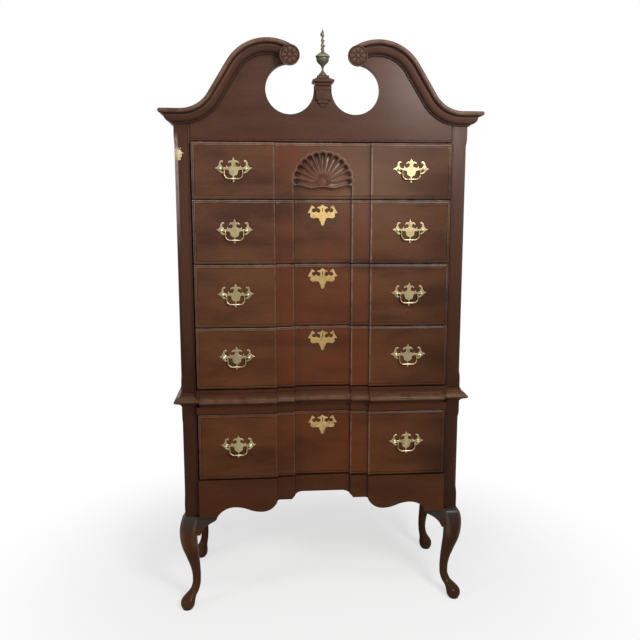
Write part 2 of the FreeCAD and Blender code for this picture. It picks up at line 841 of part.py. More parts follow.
def bored_post(shape, foot, rotation, inwards):
    """A post at its place with a blind pin hole in the side of its head that faces the bail."""
    twin = shape.copy()
    twin.Placement = Placement(foot, rotation)
    centre = foot - Vector(0, at("post_long - post_head"), 0)
    direction = Vector(math.copysign(1, inwards), 0, 0)
    radius = at("pin_radius + pin_gap")
    start = centre + direction * (at("post_head") - at("pin_depth") - 0.2)
    return twin.cut(Part.makeCylinder(radius, at("post_head"), start, direction))


def drawer_box(name, low_seam, high_seam):
    """Drawer sides with a groove for the bottom panel, and the back."""
    low = f"({low_seam} + rail_tall / 2 + rest_gap)"
    high = f"({high_seam} - rail_tall / 2 - box_top_gap)"
    inner = "(box_half - box_thick)"
    panel_low, panel_high = f"{low} + box_bottom_up", f"{low} + box_bottom_up + box_bottom_thick"
    corners = [
        ("box_half", low), ("box_half", high), (inner, high), (inner, panel_high),
        (f"{inner} + groove_deep", panel_high), (f"{inner} + groove_deep", panel_low), (inner, panel_low),
        (inner, low),
    ]
    side = padded(f"{name}_side", "XZ_Plane", corners, "box_back - box_front", "-box_front", backwards=True)
    back = board(f"{name}_back", (f"-{inner}", inner), ("box_back - box_thick", "box_back"),
                 (panel_high, high))
    keep(group(f"{name}_box", [mirrored(f"{name}_side_left", side), side, back]), f"{name}_box")
    panel = f"{inner} + groove_deep"
    keep(board(f"{name}_bottom", (f"-({panel})", panel), ("box_front", "box_back"),
               (panel_low, panel_high)), f"{name}_bottom")


# ---------------------------------------------------------------- mouldings

def bulged_edges(rows, place):
    """Edges through rows of u, v and the outward bulge of the edge that follows; place makes 3D points."""
    edges = []
    for (u0, v0, bulge), (u1, v1, _) in zip(rows, rows[1:] + rows[:1]):
        first, last = place(u0, v0), place(u1, v1)
        if bulge:
            length = math.hypot(u1 - u0, v1 - v0)
            away_u, away_v = bulge * (v1 - v0) / length, bulge * (u0 - u1) / length
            middle = place((u0 + u1) / 2 + away_u, (v0 + v1) / 2 + away_v)
            edges.append(Part.Arc(first, middle, last).toShape())
        else:
            edges.append(Part.LineSegment(first, last).toShape())
    return edges


def section_face(profile, origin, down):
    """A moulding's section: each point lies so far forwards and so far along down from the origin."""
    edges = bulged_edges(profile, lambda proud, depth: origin + Vector(0, -proud, 0) + down * depth)
    return Part.Face(Part.Wire(edges))


def cornice_profile():
    """Forward reach, depth and bulge: a thick roll, a groove, a fillet, an ovolo and a small bead."""
    out, tall = at("cornice_out"), at("cornice_tall")
    shares = (
        (0, 0, 0), (0.79, 0, 0.21), (0.79, 0.31, 0), (0.76, 0.35, 0), (0.66, 0.38, 0), (0.62, 0.45, 0.125),
        (0.19, 0.87, 0), (0.18, 0.91, 0), (0.14, 0.91, 0.03), (0.07, 1, 0), (0, 1, 0),
    )
    return [(out * reach, tall * depth, out * bulge) for reach, depth, bulge in shares]


def scroll_line(drop=0):
    """Centres, radii and joints of the swan neck's top line, or of the line that lies drop below it."""
    turn = math.radians(at("sweep_angle"))
    start = Vector(at("case_half - sweep_start_in"), 0, at("cornice_top"))
    low_radius = at("sweep_radius")
    low_centre = start + Vector(0, 0, low_radius)
    low_end = start + Vector(-low_radius * math.sin(turn), 0, low_radius * (1 - math.cos(turn)))
    peak = Vector(at("scroll_peak_x"), 0, at("scroll_top"))
    rise = low_end.z - peak.z + math.tan(turn) * (low_end.x - peak.x)
    high_radius = rise / (1 / math.cos(turn) - 1)
    high_centre = peak - Vector(0, 0, high_radius)
    high_start = high_centre + Vector(math.sin(turn), 0, math.cos(turn)) * high_radius
    past_peak = math.asin((peak.x - at("rosette_x")) / high_radius)
    down = Vector(-math.sin(turn), 0, -math.cos(turn))
    return {
        "start": start - Vector(0, 0, drop),
        "low_centre": low_centre,
        "low_end": low_end + down * drop,
        "high_start": high_start + down * drop,
        "high_centre": high_centre,
        "high_end": high_centre + Vector(-math.sin(past_peak), 0, math.cos(past_peak)) * (high_radius - drop),
        "turn": turn,
        "past_peak": past_peak,
    }


def rosette_centre():
    """Middle of the right rosette's back, hung below the end of the scroll's top line."""
    return Vector(at("rosette_x"), at("front_y"), scroll_line()["high_end"].z - at("rosette_drop"))


def rosette_flange():
    """Thickness of the rosette's wide front disc."""
    return 0.28 * at("rosette_proud")


def mitre_block(front):
    """Everything on the front or the side of the mitre plane at the right front corner."""
    size = 3 * at("case_half")
    corner = Vector(at("case_half"), at("front_y"), 0)
    block = Part.makeBox(2 * size, size, 2 * size, Vector(-size, 0, 0))
    block.rotate(Vector(0, 0, 0), Vector(0, 0, 1), 135 if front else -45)
    block.translate(corner)
    return block


def swan_neck():
    """The right swan-neck moulding: the cornice section carried along the scroll to its rosette."""
    profile = cornice_profile()
    line = scroll_line()
    front = Vector(0, at("front_y"), 0)
    level = Vector(0, 0, -1)
    end_x = at("case_half + cornice_out") + 10
    start = line["start"] + front
    flat = section_face(profile, Vector(end_x, start.y, start.z), level).extrude(Vector(start.x - end_x, 0, 0))
    degrees = math.degrees(line["turn"])
    axis = Vector(0, 1, 0)
    low = section_face(profile, start, level).revolve(line["low_centre"], axis, degrees)
    slant_down = Vector(-math.sin(line["turn"]), 0, -math.cos(line["turn"]))
    slant_run = line["high_start"] - line["low_end"]
    slant = section_face(profile, line["low_end"] + front, slant_down).extrude(slant_run)
    sweep = -(degrees + math.degrees(line["past_peak"]))
    high = section_face(profile, line["high_start"] + front, slant_down).revolve(line["high_centre"], axis, sweep)
    moulding = flat.fuse([low, slant, high]).removeSplitter()
    room, forwards = at("rosette_gap"), Vector(0, -1, 0)
    core = at("rosette_radius - rosette_core_in")
    flange_back = rosette_centre() + forwards * (at("rosette_proud") - rosette_flange() - room)
    rosette = [
        Part.makeCylinder(core + room, at("rosette_proud"), rosette_centre(), forwards),
        Part.makeCylinder(at("rosette_radius") + room, at("rosette_proud"), flange_back, forwards),
    ]
    return moulding.common(mitre_block(front=True)).cut(rosette)


def cornice_return():
    """The right side cornice, mitred to the swan neck's level end."""
    start = Vector(at("case_half"), at("front_y - cornice_out") - 10, at("cornice_top"))
    edges = bulged_edges(cornice_profile(), lambda proud, depth: start + Vector(proud, 0, -depth))
    face = Part.Face(Part.Wire(edges))
    length = at("case_depth + cornice_out") + 10
    return face.extrude(Vector(0, length, 0)).common(mitre_block(front=False))


def pediment_board():
    """The scrolled board: swan-neck top, two round cut-outs and the neck that carries the finial."""
    line = scroll_line(at("board_below_scroll"))
    half, wide = at("opening_half"), at("case_half")
    low, ear = at("frieze_low"), at("case_top")
    rosette_x = at("rosette_x")
    turn = line["turn"]
    low_mid = line["low_centre"] + Vector(-math.sin(turn / 2), 0, -math.cos(turn / 2)) * (
        line["low_centre"] - line["start"]).Length
    high_radius = (line["high_start"] - line["high_centre"]).Length
    high_mid = line["high_centre"] + Vector(0, 0, high_radius)
    right = [
        Part.LineSegment(a, b).toShape() for a, b in zip(
            [Vector(0, 0, low), Vector(half, 0, low), Vector(half, 0, ear), Vector(wide, 0, ear),
             Vector(wide, 0, line["start"].z)],
            [Vector(half, 0, low), Vector(half, 0, ear), Vector(wide, 0, ear),
             Vector(wide, 0, line["start"].z), line["start"]])
    ]
    neck = Vector(rosette_x, 0, at("neck_top"))
    right += [
        Part.Arc(line["start"], low_mid, line["low_end"]).toShape(),
        Part.LineSegment(line["low_end"], line["high_start"]).toShape(),
        Part.Arc(line["high_start"], high_mid, line["high_end"]).toShape(),
        Part.LineSegment(line["high_end"], neck).toShape(),
        Part.LineSegment(neck, Vector(0, 0, neck.z)).toShape(),
    ]
    left = [edge.mirror(Vector(0, 0, 0), Vector(1, 0, 0)) for edge in right]
    outline = Part.Face(Part.Wire(Part.__sortEdges__(right + left)))
    circles = two_discs(at("circle_x"), at("circle_z"), at("circle_radius"))
    backing = two_discs(rosette_x, rosette_centre().z, at("rosette_radius - 2 * rosette_core_in"))
    thick = at("pediment_thick")
    scrolled = flat_plate([outline], circles, thick)
    return copy_shape(fused([scrolled, *flat_prisms(backing, thick)]), Vector(0, at("front_y"), 0))


def waist_levels():
    """Height above the deck and forward reach of the waist moulding: cove, nose, fillets and ogee."""
    out = at("waist_out")
    top = at("waist_deck_tall + waist_lip_tall")
    shares = (
        (0, 0.04), (0.035, 0.06), (0.16, 0.12), (0.27, 0.31), (0.345, 0.65), (0.39, 0.92), (0.43, 1), (0.49, 1),
        (0.53, 0.92), (0.545, 0.79), (0.60, 0.77), (0.67, 0.65), (0.73, 0.42), (0.82, 0.27), (0.845, 0.17),
        (0.93, 0.15), (1, 0.11),
    )
    return [(top * height, out * reach) for height, reach in shares]


def waist_front(pieces_behind):
    """The waist moulding across the front: its nose follows the blocks and falls back to the stiles."""
    half = at("case_half + waist_out") + 8
    low = at("deck_low")
    back = at("front_y + waist_frame")
    moulding = stacked([plan_wire(reach, half, low + height, back, returned=True)
                        for height, reach in waist_levels()])
    moulding = moulding.common(mitre_block(front=True)).common(
        mitre_block(front=True).mirror(Vector(0, 0, 0), Vector(1, 0, 0)))
    above = box_between((-half, half), (at("front_y"), back + 1), (at("deck_top"), low + 200))
    return moulding.cut([above] + pieces_behind)


def waist_return():
    """The right side of the waist frame, mitred to the front."""
    inner = at("side_inner - waist_lap")
    levels = waist_levels()
    outer = [(at("case_half") + reach, at("deck_low") + height) for height, reach in levels]
    top = at("deck_low") + levels[-1][0]
    corners = [(inner, at("deck_low"))] + outer + [
        (at("case_half"), top), (at("case_half"), at("deck_top")), (inner, at("deck_top"))]
    face = flat_shape(corners)
    face.translate(Vector(0, at("front_y - waist_out") - 10, 0))
    length = at("case_depth + waist_out") + 10
    return face.extrude(Vector(0, length, 0)).common(mitre_block(front=False))


def mouldings(stiles):
    """Swan necks, cornice returns and the waist moulding."""
    neck = keep(solid_feature("swan_neck_right", swan_neck()), "swan_neck_right")
    keep(mirrored("swan_neck_left", neck), "swan_neck_left")
    side = solid_feature("cornice_return_right", cornice_return())
    keep(group("cornice_returns", [mirrored("cornice_return_left", side), side]), "cornice_returns")
    doc.recompute()
    behind = [stiles.Shape, block_rail(at("deck_top"), at("seam_four"), at("rail_back"), at("opening_half"))]
    front = solid_feature("waist_front", waist_front(behind))
    waist_side = solid_feature("waist_return_right", waist_return())
    inner = "(side_inner - waist_lap)"
    rear = board("waist_rear_rail", (f"-{inner}", inner), ("back_y - waist_frame", "back_y"), ("deck_low", "deck_top"))
    pieces = [front, mirrored("waist_return_left", waist_side), waist_side, rear]
    keep(group("waist_moulding", pieces), "waist_moulding")


# ---------------------------------------------------------------- pediment ornaments

def rosettes():
    """Two turned rosettes that close the swan necks."""
    radius, proud = "rosette_radius", "rosette_proud"
    core, flange = f"{radius} - rosette_core_in", f"{proud} - {rosette_flange()}"
    corners = [
        ("0", "0"), (core, "0"), (core, flange), (f"{radius} - 1.5", flange), (radius, f"{flange} + 1.5"),
        (radius, f"{proud} - 4"), (f"{radius} - 1.5", f"{proud} - 2"), (f"{radius} - 4", f"{proud} - 2"),
        (f"{radius} - 6", f"{proud} - 5"), (f"0.52 * {radius}", f"{proud} - 2.5"),
        (f"0.36 * {radius}", f"{proud} - 3"), (f"0.26 * {radius}", f"{proud} - 5"),
        (f"0.19 * {radius}", f"{proud} - 1"), ("0", proud),
    ]
    turning = turned("rosette_turning", corners)
    doc.recompute()
    forwards = Rotation(Vector(1, 0, 0), 90)
    centre = rosette_centre()
    pair = [
        copy_at(f"rosette_{name}", turning, sign * centre.x, centre.y, centre.z, forwards)
        for name, sign in (("left", -1), ("right", 1))
    ]
    keep(group("rosettes", pair), "rosettes")


def square_stack(levels, centre_y, back_y):
    """A four-sided moulded block with a flat back, through rectangles given by height and half width."""
    wires = []
    for height, half in levels:
        front = centre_y - half
        rows = ((-half, front), (half, front), (half, back_y), (-half, back_y))
        corners = [Vector(x, y, height) for x, y in rows]
        wires.append(Part.makePolygon(corners + [corners[0]]))
    return Part.makeLoft(wires, True, True)


def finial_plinth():
    """The moulded cap on the pediment's neck, with the corbel panel applied below it."""
    base, tall, half = at("neck_top"), at("cap_tall"), at("cap_half")
    shares = ((0, 0.76), (0.22, 0.76), (0.24, 0.80), (0.30, 0.95), (0.335, 1), (0.48, 1), (0.52, 0.95),
              (0.63, 0.77), (0.74, 0.60), (0.77, 0.56), (0.96, 0.54), (1, 0.50))
    cap = square_stack([(base + tall * height, half * wide) for height, wide in shares], at("finial_y"),
                       at("front_y + pediment_thick"))
    wide, proud = at("corbel_half"), at("corbel_proud")
    block_low, panel_low = base - at("corbel_block"), base - at("corbel_tall")
    tail_low = panel_low - at("corbel_tail")
    side = [
        (0, base), (1.3 * proud, base), (1.3 * proud, block_low + 2), (1.1 * proud, block_low),
        (proud, block_low), (proud, panel_low + 2), (0.8 * proud, panel_low), (0.65 * proud, panel_low - 3),
        (0.75 * proud, panel_low - 5), (0.75 * proud, panel_low - 9), (0.4 * proud, panel_low - 11),
        (0.35 * proud, tail_low + 2), (0, tail_low),
    ]
    points = [Vector(-2 * wide, at("front_y") - reach, height) for reach, height in side]
    corbel = Part.Face(Part.makePolygon(points + [points[0]])).extrude(Vector(4 * wide, 0, 0))
    steps = ((1.13 * wide, base), (1.13 * wide, block_low), (wide, block_low), (wide, panel_low),
             (0.64 * wide, panel_low - 3), (0.69 * wide, panel_low - 5), (0.69 * wide, panel_low - 9),
             (0.44 * wide, panel_low - 11), (0.4 * wide, tail_low + 4), (0.26 * wide, tail_low))
    taper = flat_shape(steps + tuple((-x, z) for x, z in reversed(steps)))
    taper.translate(Vector(0, at("front_y"), 0))
    return cap.fuse(corbel.common(taper.extrude(Vector(0, -2 * proud, 0)))).removeSplitter()


def urn():
    """The finial's turned urn: foot, bowl, rim and domed cover."""
    radius, tall = "urn_radius", "urn_tall"
    shares = (
        (0, 0), (0.58, 0), (0.58, 0.04), (0.53, 0.073), (0.385, 0.125), (0.23, 0.18), (0.145, 0.227),
        (0.12, 0.273), (0.155, 0.327), (0.215, 0.38), (0.33, 0.433), (0.545, 0.493), (0.725, 0.547),
        (0.84, 0.607), (0.885, 0.667), (0.877, 0.727), (1, 0.76), (1, 0.793), (0.89, 0.827), (0.77, 0.86),
        (0.55, 0.907), (0.31, 0.953), (0.2, 1), (0, 1),
    )
    corners = [(f"{wide} * {radius}", f"{high} * {tall}") for wide, high in shares]
    body = turned("finial_urn", corners)
    body.Placement = Placement(Vector(0, at("finial_y"), at("urn_low")), Rotation())
    return keep(body, "finial_urn")


def flame():
    """The finial's flame: an oval section that turns as it climbs and swells into ever slimmer knots."""
    tall, radius = at("flame_tall"), at("flame_radius")
    knots = ((0, 0.52), (0.10, 0.76), (0.14, 0.58), (0.21, 1.0), (0.35, 0.47), (0.48, 0.78), (0.56, 0.34),
             (0.74, 0.90), (0.90, 0.45), (1.0, 0.08))
    centre = Vector(0, at("finial_y"), at("flame_low"))
    steps, sides = 3, 10
    wires = []
    for (low, slim), (high, swell) in zip(knots, knots[1:]):
        for step in range(steps if high < 1 else steps + 1):
            share = low + (high - low) * step / steps
            ease = (1 - math.cos(math.pi * step / steps)) / 2
            size = radius * (slim + (swell - slim) * ease)
            turns = [2 * math.pi * side / sides for side in range(sides)]
            ring = [Vector(size * math.cos(turn), size * 0.7 * math.sin(turn), tall * share) for turn in turns]
            wire = Part.makePolygon(ring + [ring[0]])
            wire.rotate(Vector(0, 0, 0), Vector(0, 0, 1), at("flame_twist") * share)
            wires.append(copy_shape(wire, centre))
    return stacked(wires)


# ---------------------------------------------------------------- apron and legs

def level_arc(level, through):
    """An arc that leaves one point horizontally and ends at another, both given as x and z."""
    (x0, z0), (x1, z1) = level, through
    rise = z1 - z0
    radius = ((x1 - x0) ** 2 + rise ** 2) / (2 * rise)
    centre = Vector(x0, 0, z0 + radius)
    first, last = Vector(x0, 0, z0), Vector(x1, 0, z1)
    middle = (first + last) * 0.5 - centre
    middle = centre + middle.normalize() * abs(radius)
    return Part.Arc(first, middle, last).toShape()


def front_apron():
    """The blocked apron with its scrolled lower edge: centre arch, lobes and rises to the knees."""
    base, top = at("leg_tall"), at("low_seam - seam / 2")
    arch = (at("arch_half"), base + at("arch_up"))
    shelf = (at("shelf_half"), base + at("corner_up"))
    corner = (at("block_inner"), base + at("corner_up"))
    lobe = (at("lobe_x"), base + at("lobe_up"))
    rise = (at("opening_half - rise_in"), base + at("rise_up"))
    middle = ((lobe[0] + rise[0]) / 2, (lobe[1] + rise[1]) / 2)
    end = (at("opening_half - apron_end_in"), base)
    outer = at("opening_half")

    def line(first, last):
        return Part.LineSegment(Vector(first[0], 0, first[1]), Vector(last[0], 0, last[1])).toShape()

    edges = [
        line((0, arch[1]), arch), level_arc(arch, shelf), line(shelf, corner), level_arc(lobe, corner),
        level_arc(lobe, middle), level_arc(rise, middle), level_arc(rise, end), line(end, (outer, base)),
        line((outer, base), (outer, top)), line((outer, top), (0, top)), line((0, top), (0, arch[1])),
    ]
    half = Part.Face(Part.Wire(Part.__sortEdges__(edges)))
    back = at("front_y + apron_back")
    outline = flat_plate([half, half.mirror(Vector(0, 0, 0), Vector(1, 0, 0))], [], -2 * at("apron_back"))
    return block_rail(base, top, back, outer).common(copy_shape(outline, Vector(0, back, 0)))


def leg_stations(foot_out):
    """Height, outward offset, half width and roundness of the leg's sections, from the top down."""
    thin, foot = "ankle_half", "foot_half"
    return (
        ("leg_tall", "0", "leg_block / 2", 0.15),
        ("0.92 * leg_tall", "0.42 * knee_out", "leg_block / 2 + 2", 0.40),
        ("0.84 * leg_tall", "knee_out", "knee_half", 0.60),
        ("0.68 * leg_tall", "0.85 * knee_out", "0.93 * knee_half", 0.80),
        ("0.53 * leg_tall", "0.28 * knee_out", "0.74 * knee_half", 0.95),
        ("0.40 * leg_tall", "-0.55 * ankle_in", f"0.2 * knee_half + 0.73 * {thin}", 0.98),
        ("0.30 * leg_tall", "-ankle_in", thin, 0.98),
        ("0.215 * leg_tall", "-0.5 * ankle_in", f"1.02 * {thin}", 0.98),
        ("0.16 * leg_tall", f"0.30 * {foot_out}", f"0.5 * {thin} + 0.48 * {foot}", 0.98),
        ("0.115 * leg_tall", f"0.68 * {foot_out}", f"0.95 * {foot}", 0.98),
        ("0.065 * leg_tall", f"0.95 * {foot_out}", foot, 0.98),
        ("0.02 * leg_tall", f"{foot_out} + 1", f"0.86 * {foot}", 0.98),
        ("0", f"{foot_out} + 2", "pad_half", 0.98),
    )


def cabriole_leg(label, foot_out, centre_y, lean):
    """The right leg of a pair: a smooth loft through rounded squares that swing out, in and out again."""
    body = doc.addObject("PartDesign::Body", label)
    sketches = []
    for number, (height, out, half, roundness) in enumerate(leg_stations(foot_out)):
        sketch = new_sketch(body, f"{label}_section_{number}", "XY_Plane", height)
        x = f"(case_half - leg_block / 2 + {out})"
        y = f"({centre_y} + {lean} * ({out}))"
        size, flat = f"({half})", f"({half}) * {1 - roundness}"
        corners = [
            (f"{x} + {size}", f"{y} - {flat}"), (f"{x} + {size}", f"{y} + {flat}"),
            (f"{x} + {flat}", f"{y} + {size}"), (f"{x} - {flat}", f"{y} + {size}"),
            (f"{x} - {size}", f"{y} + {flat}"), (f"{x} - {size}", f"{y} - {flat}"),
            (f"{x} - {flat}", f"{y} - {size}"), (f"{x} + {flat}", f"{y} - {size}"),
        ]
        arcs = {1: ((f"{x} + {flat}", f"{y} + {flat}"), "left"), 3: ((f"{x} - {flat}", f"{y} + {flat}"), "left"),
                5: ((f"{x} - {flat}", f"{y} - {flat}"), "left"), 7: ((f"{x} + {flat}", f"{y} - {flat}"), "left")}
        draw_outline(sketch, corners, arcs)
        sketches.append(sketch)
    loft = body.newObject("PartDesign::AdditiveLoft", f"{label}_loft")
    loft.Profile = sketches[0]
    loft.Sections = sketches[1:]
    return body


def bracket_prism(long, tall, thick):
    """A knee block: level top, scrolled underside, thickness along +Y, its leg end on x = 0."""
    edges = [
        Part.LineSegment(Vector(18, 0, 0), Vector(-long, 0, 0)).toShape(),
        Part.Arc(Vector(-long, 0, 0), Vector(-long + 2, 0, -12), Vector(-long + 11, 0, -22)).toShape(),
        Part.Arc(Vector(-long + 11, 0, -22), Vector(-0.38 * long, 0, -0.52 * tall), Vector(0, 0, -tall)).toShape(),
        Part.LineSegment(Vector(0, 0, -tall), Vector(18, 0, -tall)).toShape(),
        Part.LineSegment(Vector(18, 0, -tall), Vector(18, 0, 0)).toShape(),
    ]
    return Part.Face(Part.Wire(edges)).extrude(Vector(0, thick, 0))


def knee_blocks(front_leg, rear_leg):
    """Six scrolled blocks beside the knees: two under the apron and four under the side boards."""
    long, tall, thick = at("bracket_long"), at("bracket_tall"), at("bracket_thick")
    top = at("leg_tall")
    front = bracket_prism(long, tall, thick)
    front.translate(Vector(at("opening_half"), at("front_y - block_proud / 2"), top))
    front = front.cut(front_leg)
    behind = bracket_prism(long, tall, thick)
    behind.rotate(Vector(0, 0, 0), Vector(0, 0, 1), -90)
    ahead = behind.mirror(Vector(0, 0, 0), Vector(0, 1, 0))
    inner_x = at("case_half") - thick
    behind.translate(Vector(inner_x, at("front_y + leg_block"), top))
    ahead.translate(Vector(inner_x, at("back_y - leg_block"), top))
    return [front, behind.cut(front_leg), ahead.cut(rear_leg)]


def legs():
    """Four cabriole legs and their knee blocks."""
    front = cabriole_leg("leg_front_right", "foot_out", "front_y + leg_block / 2", -1)
    rear = cabriole_leg("leg_rear_right", "rear_foot_out", "back_y - leg_block / 2", -0.25)
    doc.recompute()
    for name, source in (("front", front), ("rear", rear)):
        keep(mirrored(f"leg_{name}_left", source), f"leg_{name}_left")
        keep(source, f"leg_{name}_right")
    pieces = []
    for number, shape in enumerate(knee_blocks(front.Shape, rear.Shape)):
        right = solid_feature(f"knee_block_right_{number}", shape)
        pieces += [mirrored(f"knee_block_left_{number}", right), right]
    keep(group("knee_blocks", pieces), "knee_blocks")


# ---------------------------------------------------------------- the whole piece of furniture

def build():
    """Adds every sub-part to the document."""
    stiles = corner_stiles("stiles_upper", "deck_top", "case_top", at("cornice_low - chamfer_top_stop"),
                           "cornice_low")
    corner_stiles("stiles_lower", "leg_tall", "deck_low", at("deck_low - chamfer_top_stop"), "deck_low")
    side_boards()
    case_boards()
    drawer_rails()
    drawer_runners()
    drawers()
    mouldings(stiles)
    keep(solid_feature("pediment_board", pediment_board()), "pediment_board")
    rosettes()
    keep(solid_feature("finial_plinth", finial_plinth()), "finial_plinth")
    urn()
    keep(solid_feature("finial_flame", flame()), "finial_flame")
    keep(solid_feature("front_apron", front_apron()), "front_apron")
    legs()


def check_document():
    """Stops when any object failed or a sub-part has no valid solid."""
    failed = [item.Name for item in doc.Objects if {"Invalid", "Error"} & set(item.State)]
    if failed:
        raise SystemExit(f"failed objects: {failed}")
    for piece in NODES:
        if piece.Shape.isNull() or not piece.Shape.isValid() or not piece.Shape.Solids:
            raise SystemExit(f"bad shape: {piece.Label}")


def write_parts():
    """Writes each sub-part to its own STEP file."""
    os.makedirs("parts", exist_ok=True)
    for piece in NODES:
        piece.Shape.exportStep(f"parts/{piece.Label}.step")
        print(piece.Label, len(piece.Shape.Solids), round(piece.Shape.Volume / 1000, 1), "cm3")


build()
doc.recompute()
check_document()
write_parts()
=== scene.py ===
"""Block-front highboy: finishes, carved and turned work, brasses and the studio round it.

Lengths are metres in the part's own frame: +Z up, the front faces -Y, X = 0 is the centre line.
"""

import logging
import math
from dataclasses import dataclass, field, replace
from enum import Enum

import bmesh
import bpy
import numpy as np
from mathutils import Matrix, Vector
from mathutils.geometry import tessellate_polygon


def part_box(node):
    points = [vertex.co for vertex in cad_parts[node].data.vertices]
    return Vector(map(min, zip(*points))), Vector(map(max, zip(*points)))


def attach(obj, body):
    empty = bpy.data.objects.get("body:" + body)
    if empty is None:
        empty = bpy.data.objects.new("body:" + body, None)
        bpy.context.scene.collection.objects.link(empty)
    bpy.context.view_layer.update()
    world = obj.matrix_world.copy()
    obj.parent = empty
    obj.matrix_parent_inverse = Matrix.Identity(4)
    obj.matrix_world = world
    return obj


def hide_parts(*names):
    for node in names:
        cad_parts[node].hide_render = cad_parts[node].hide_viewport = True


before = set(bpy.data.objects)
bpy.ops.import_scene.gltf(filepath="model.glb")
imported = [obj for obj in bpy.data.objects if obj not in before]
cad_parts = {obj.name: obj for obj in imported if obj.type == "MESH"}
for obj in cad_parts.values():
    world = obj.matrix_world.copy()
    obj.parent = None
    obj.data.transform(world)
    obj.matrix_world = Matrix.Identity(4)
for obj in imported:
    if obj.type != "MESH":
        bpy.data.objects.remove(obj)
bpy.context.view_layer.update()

LOG = logging.getLogger("highboy")
MM = 0.001
Array = np.ndarray
Colour = tuple[float, float, float]


# ---------------------------------------------------------------- curves and grids

def arc(centre: tuple[float, float], radius: float, first: float, last: float, count: int) -> Array:
    """Points on a circle from one angle to another.

    Args:
        centre: Middle of the circle.
        radius: Its radius.
        first: Start angle in degrees.
        last: End angle in degrees.
        count: Number of points.

    Returns:
        An array of count rows of two coordinates.
    """
    turn = np.radians(np.linspace(first, last, count))
    return np.stack([centre[0] + radius * np.cos(turn), centre[1] + radius * np.sin(turn)], 1)


def smooth_through(places: Array, values: Array, at: Array) -> Array:
    """Values on a smooth curve through given ones: cubic pieces whose slopes are the central differences.

    Args:
        places: Rising positions of the given values.
        values: One row per position.
        at: Positions that are wanted.

    Returns:
        One row per wanted position.
    """
    values = np.asarray(values, float).reshape(len(places), -1)
    slope = np.gradient(values, places, axis=0)
    left = np.clip(np.searchsorted(places, at, side="right") - 1, 0, len(places) - 2)
    span = (places[left + 1] - places[left])[:, None]
    t = (at - places[left])[:, None] / span
    return (
        (2 * t**3 - 3 * t**2 + 1) * values[left]
        + (t**3 - 2 * t**2 + t) * span * slope[left]
        + (3 * t**2 - 2 * t**3) * values[left + 1]
        + (t**3 - t**2) * span * slope[left + 1]
    )


def softened_corners(points: Array, radius: float, steps: int = 3, closed: bool = False) -> Array:
    """The line with each corner exchanged for a short parabola that touches both of its sides.

    Args:
        points: Corners in order, one per row.
        radius: How far along a side the rounding reaches, at most 0.45 of the side.
        steps: Pieces in each rounded corner.
        closed: Whether the last corner joins the first.

    Returns:
        The points of the softened line.
    """
    before, after = np.roll(points, 1, 0) - points, np.roll(points, -1, 0) - points
    near = np.linalg.norm(before, axis=1, keepdims=True)
    far = np.linalg.norm(after, axis=1, keepdims=True)
    first = points + before / near * np.minimum(radius, 0.45 * near)
    last = points + after / far * np.minimum(radius, 0.45 * far)
    t = np.linspace(0, 1, steps + 1)[None, :, None]
    bends = (1 - t) ** 2 * first[:, None] + 2 * t * (1 - t) * points[:, None] + t**2 * last[:, None]
    if closed:
        return bends.reshape(-1, points.shape[1])
    inner = bends[1:-1].reshape(-1, points.shape[1])
    return np.concatenate([points[:1], inner, points[-1:]])


def smoothstep(low: float, high: float, value: Array) -> Array:
    """0 below low, 1 above high and an S-curve between them."""
    t = np.clip((value - low) / (high - low), 0, 1)
    return t * t * (3 - 2 * t)


def bump(value: Array, centre: float, width: float) -> Array:
    """A bell of height 1 at centre that is nearly nothing two widths away."""
    return np.exp(-(((value - centre) / width) ** 2))


def quads(rows: int, columns: int, wrapped: bool = False) -> Array:
    """Corner numbers of the faces of a grid of points.

    Args:
        rows: Number of rows of points.
        columns: Number of points in a row.
        wrapped: Whether the last column joins the first.

    Returns:
        One row of four point numbers per face.
    """
    across = columns if wrapped else columns - 1
    row, column = np.meshgrid(np.arange(rows - 1), np.arange(across), indexing="ij")
    following = (column + 1) % columns
    corners = (row * columns + column, row * columns + following,
               (row + 1) * columns + following, (row + 1) * columns + column)
    return np.stack([corner.ravel() for corner in corners], 1)


@dataclass
class Shape:
    """One or more closed surfaces of a piece: points, faces by point number, and at each point its scuffing,
    painted highlight and painted shade.
    """

    points: Array
    faces: list[list[int]]
    wear: Array

    def joined(self, other: "Shape") -> "Shape":
        """This shape and another as one.

        Args:
            other: The shape that is added.

        Returns:
            One shape with the surfaces of both.
        """
        shift = len(self.points)
        faces = self.faces + [[number + shift for number in face] for face in other.faces]
        points = np.concatenate([self.points, other.points])
        return Shape(points, faces, np.concatenate([self.wear, other.wear]))

    def mirrored(self) -> "Shape":
        """The shape on the other side of the centre line, its faces still outwards."""
        return Shape(self.points * (-1, 1, 1), [face[::-1] for face in self.faces], self.wear)

    def moved(self, x: float, y: float, z: float) -> "Shape":
        """The shape at another place."""
        return Shape(self.points + (x, y, z), self.faces, self.wear)

    def outwards(self) -> "Shape":
        """The shape with its faces turned outwards.

        Six times a closed surface's volume is the sum, over its triangles, of the triple product of their
        corners. The sum is negative where the faces look inwards.

        Returns:
            This shape, or one with every face reversed.
        """
        volume = 0.0
        for sides in {len(face) for face in self.faces}:
            same = np.array([face for face in self.faces if len(face) == sides])
            first = self.points[same[:, 0]]
            for corner in range(1, sides - 1):
                cross = np.cross(self.points[same[:, corner]], self.points[same[:, corner + 1]])
                volume += float(np.einsum("ij,ij->", first, cross))
        return self if volume > 0 else Shape(self.points, [face[::-1] for face in self.faces], self.wear)


def joined(shapes: list[Shape]) -> Shape:
    """All the shapes as one.

    Args:
        shapes: Two or more shapes.

    Returns:
        One shape with all their surfaces.
    """
    whole = shapes[0]
    for shape in shapes[1:]:
        whole = whole.joined(shape)
    return whole


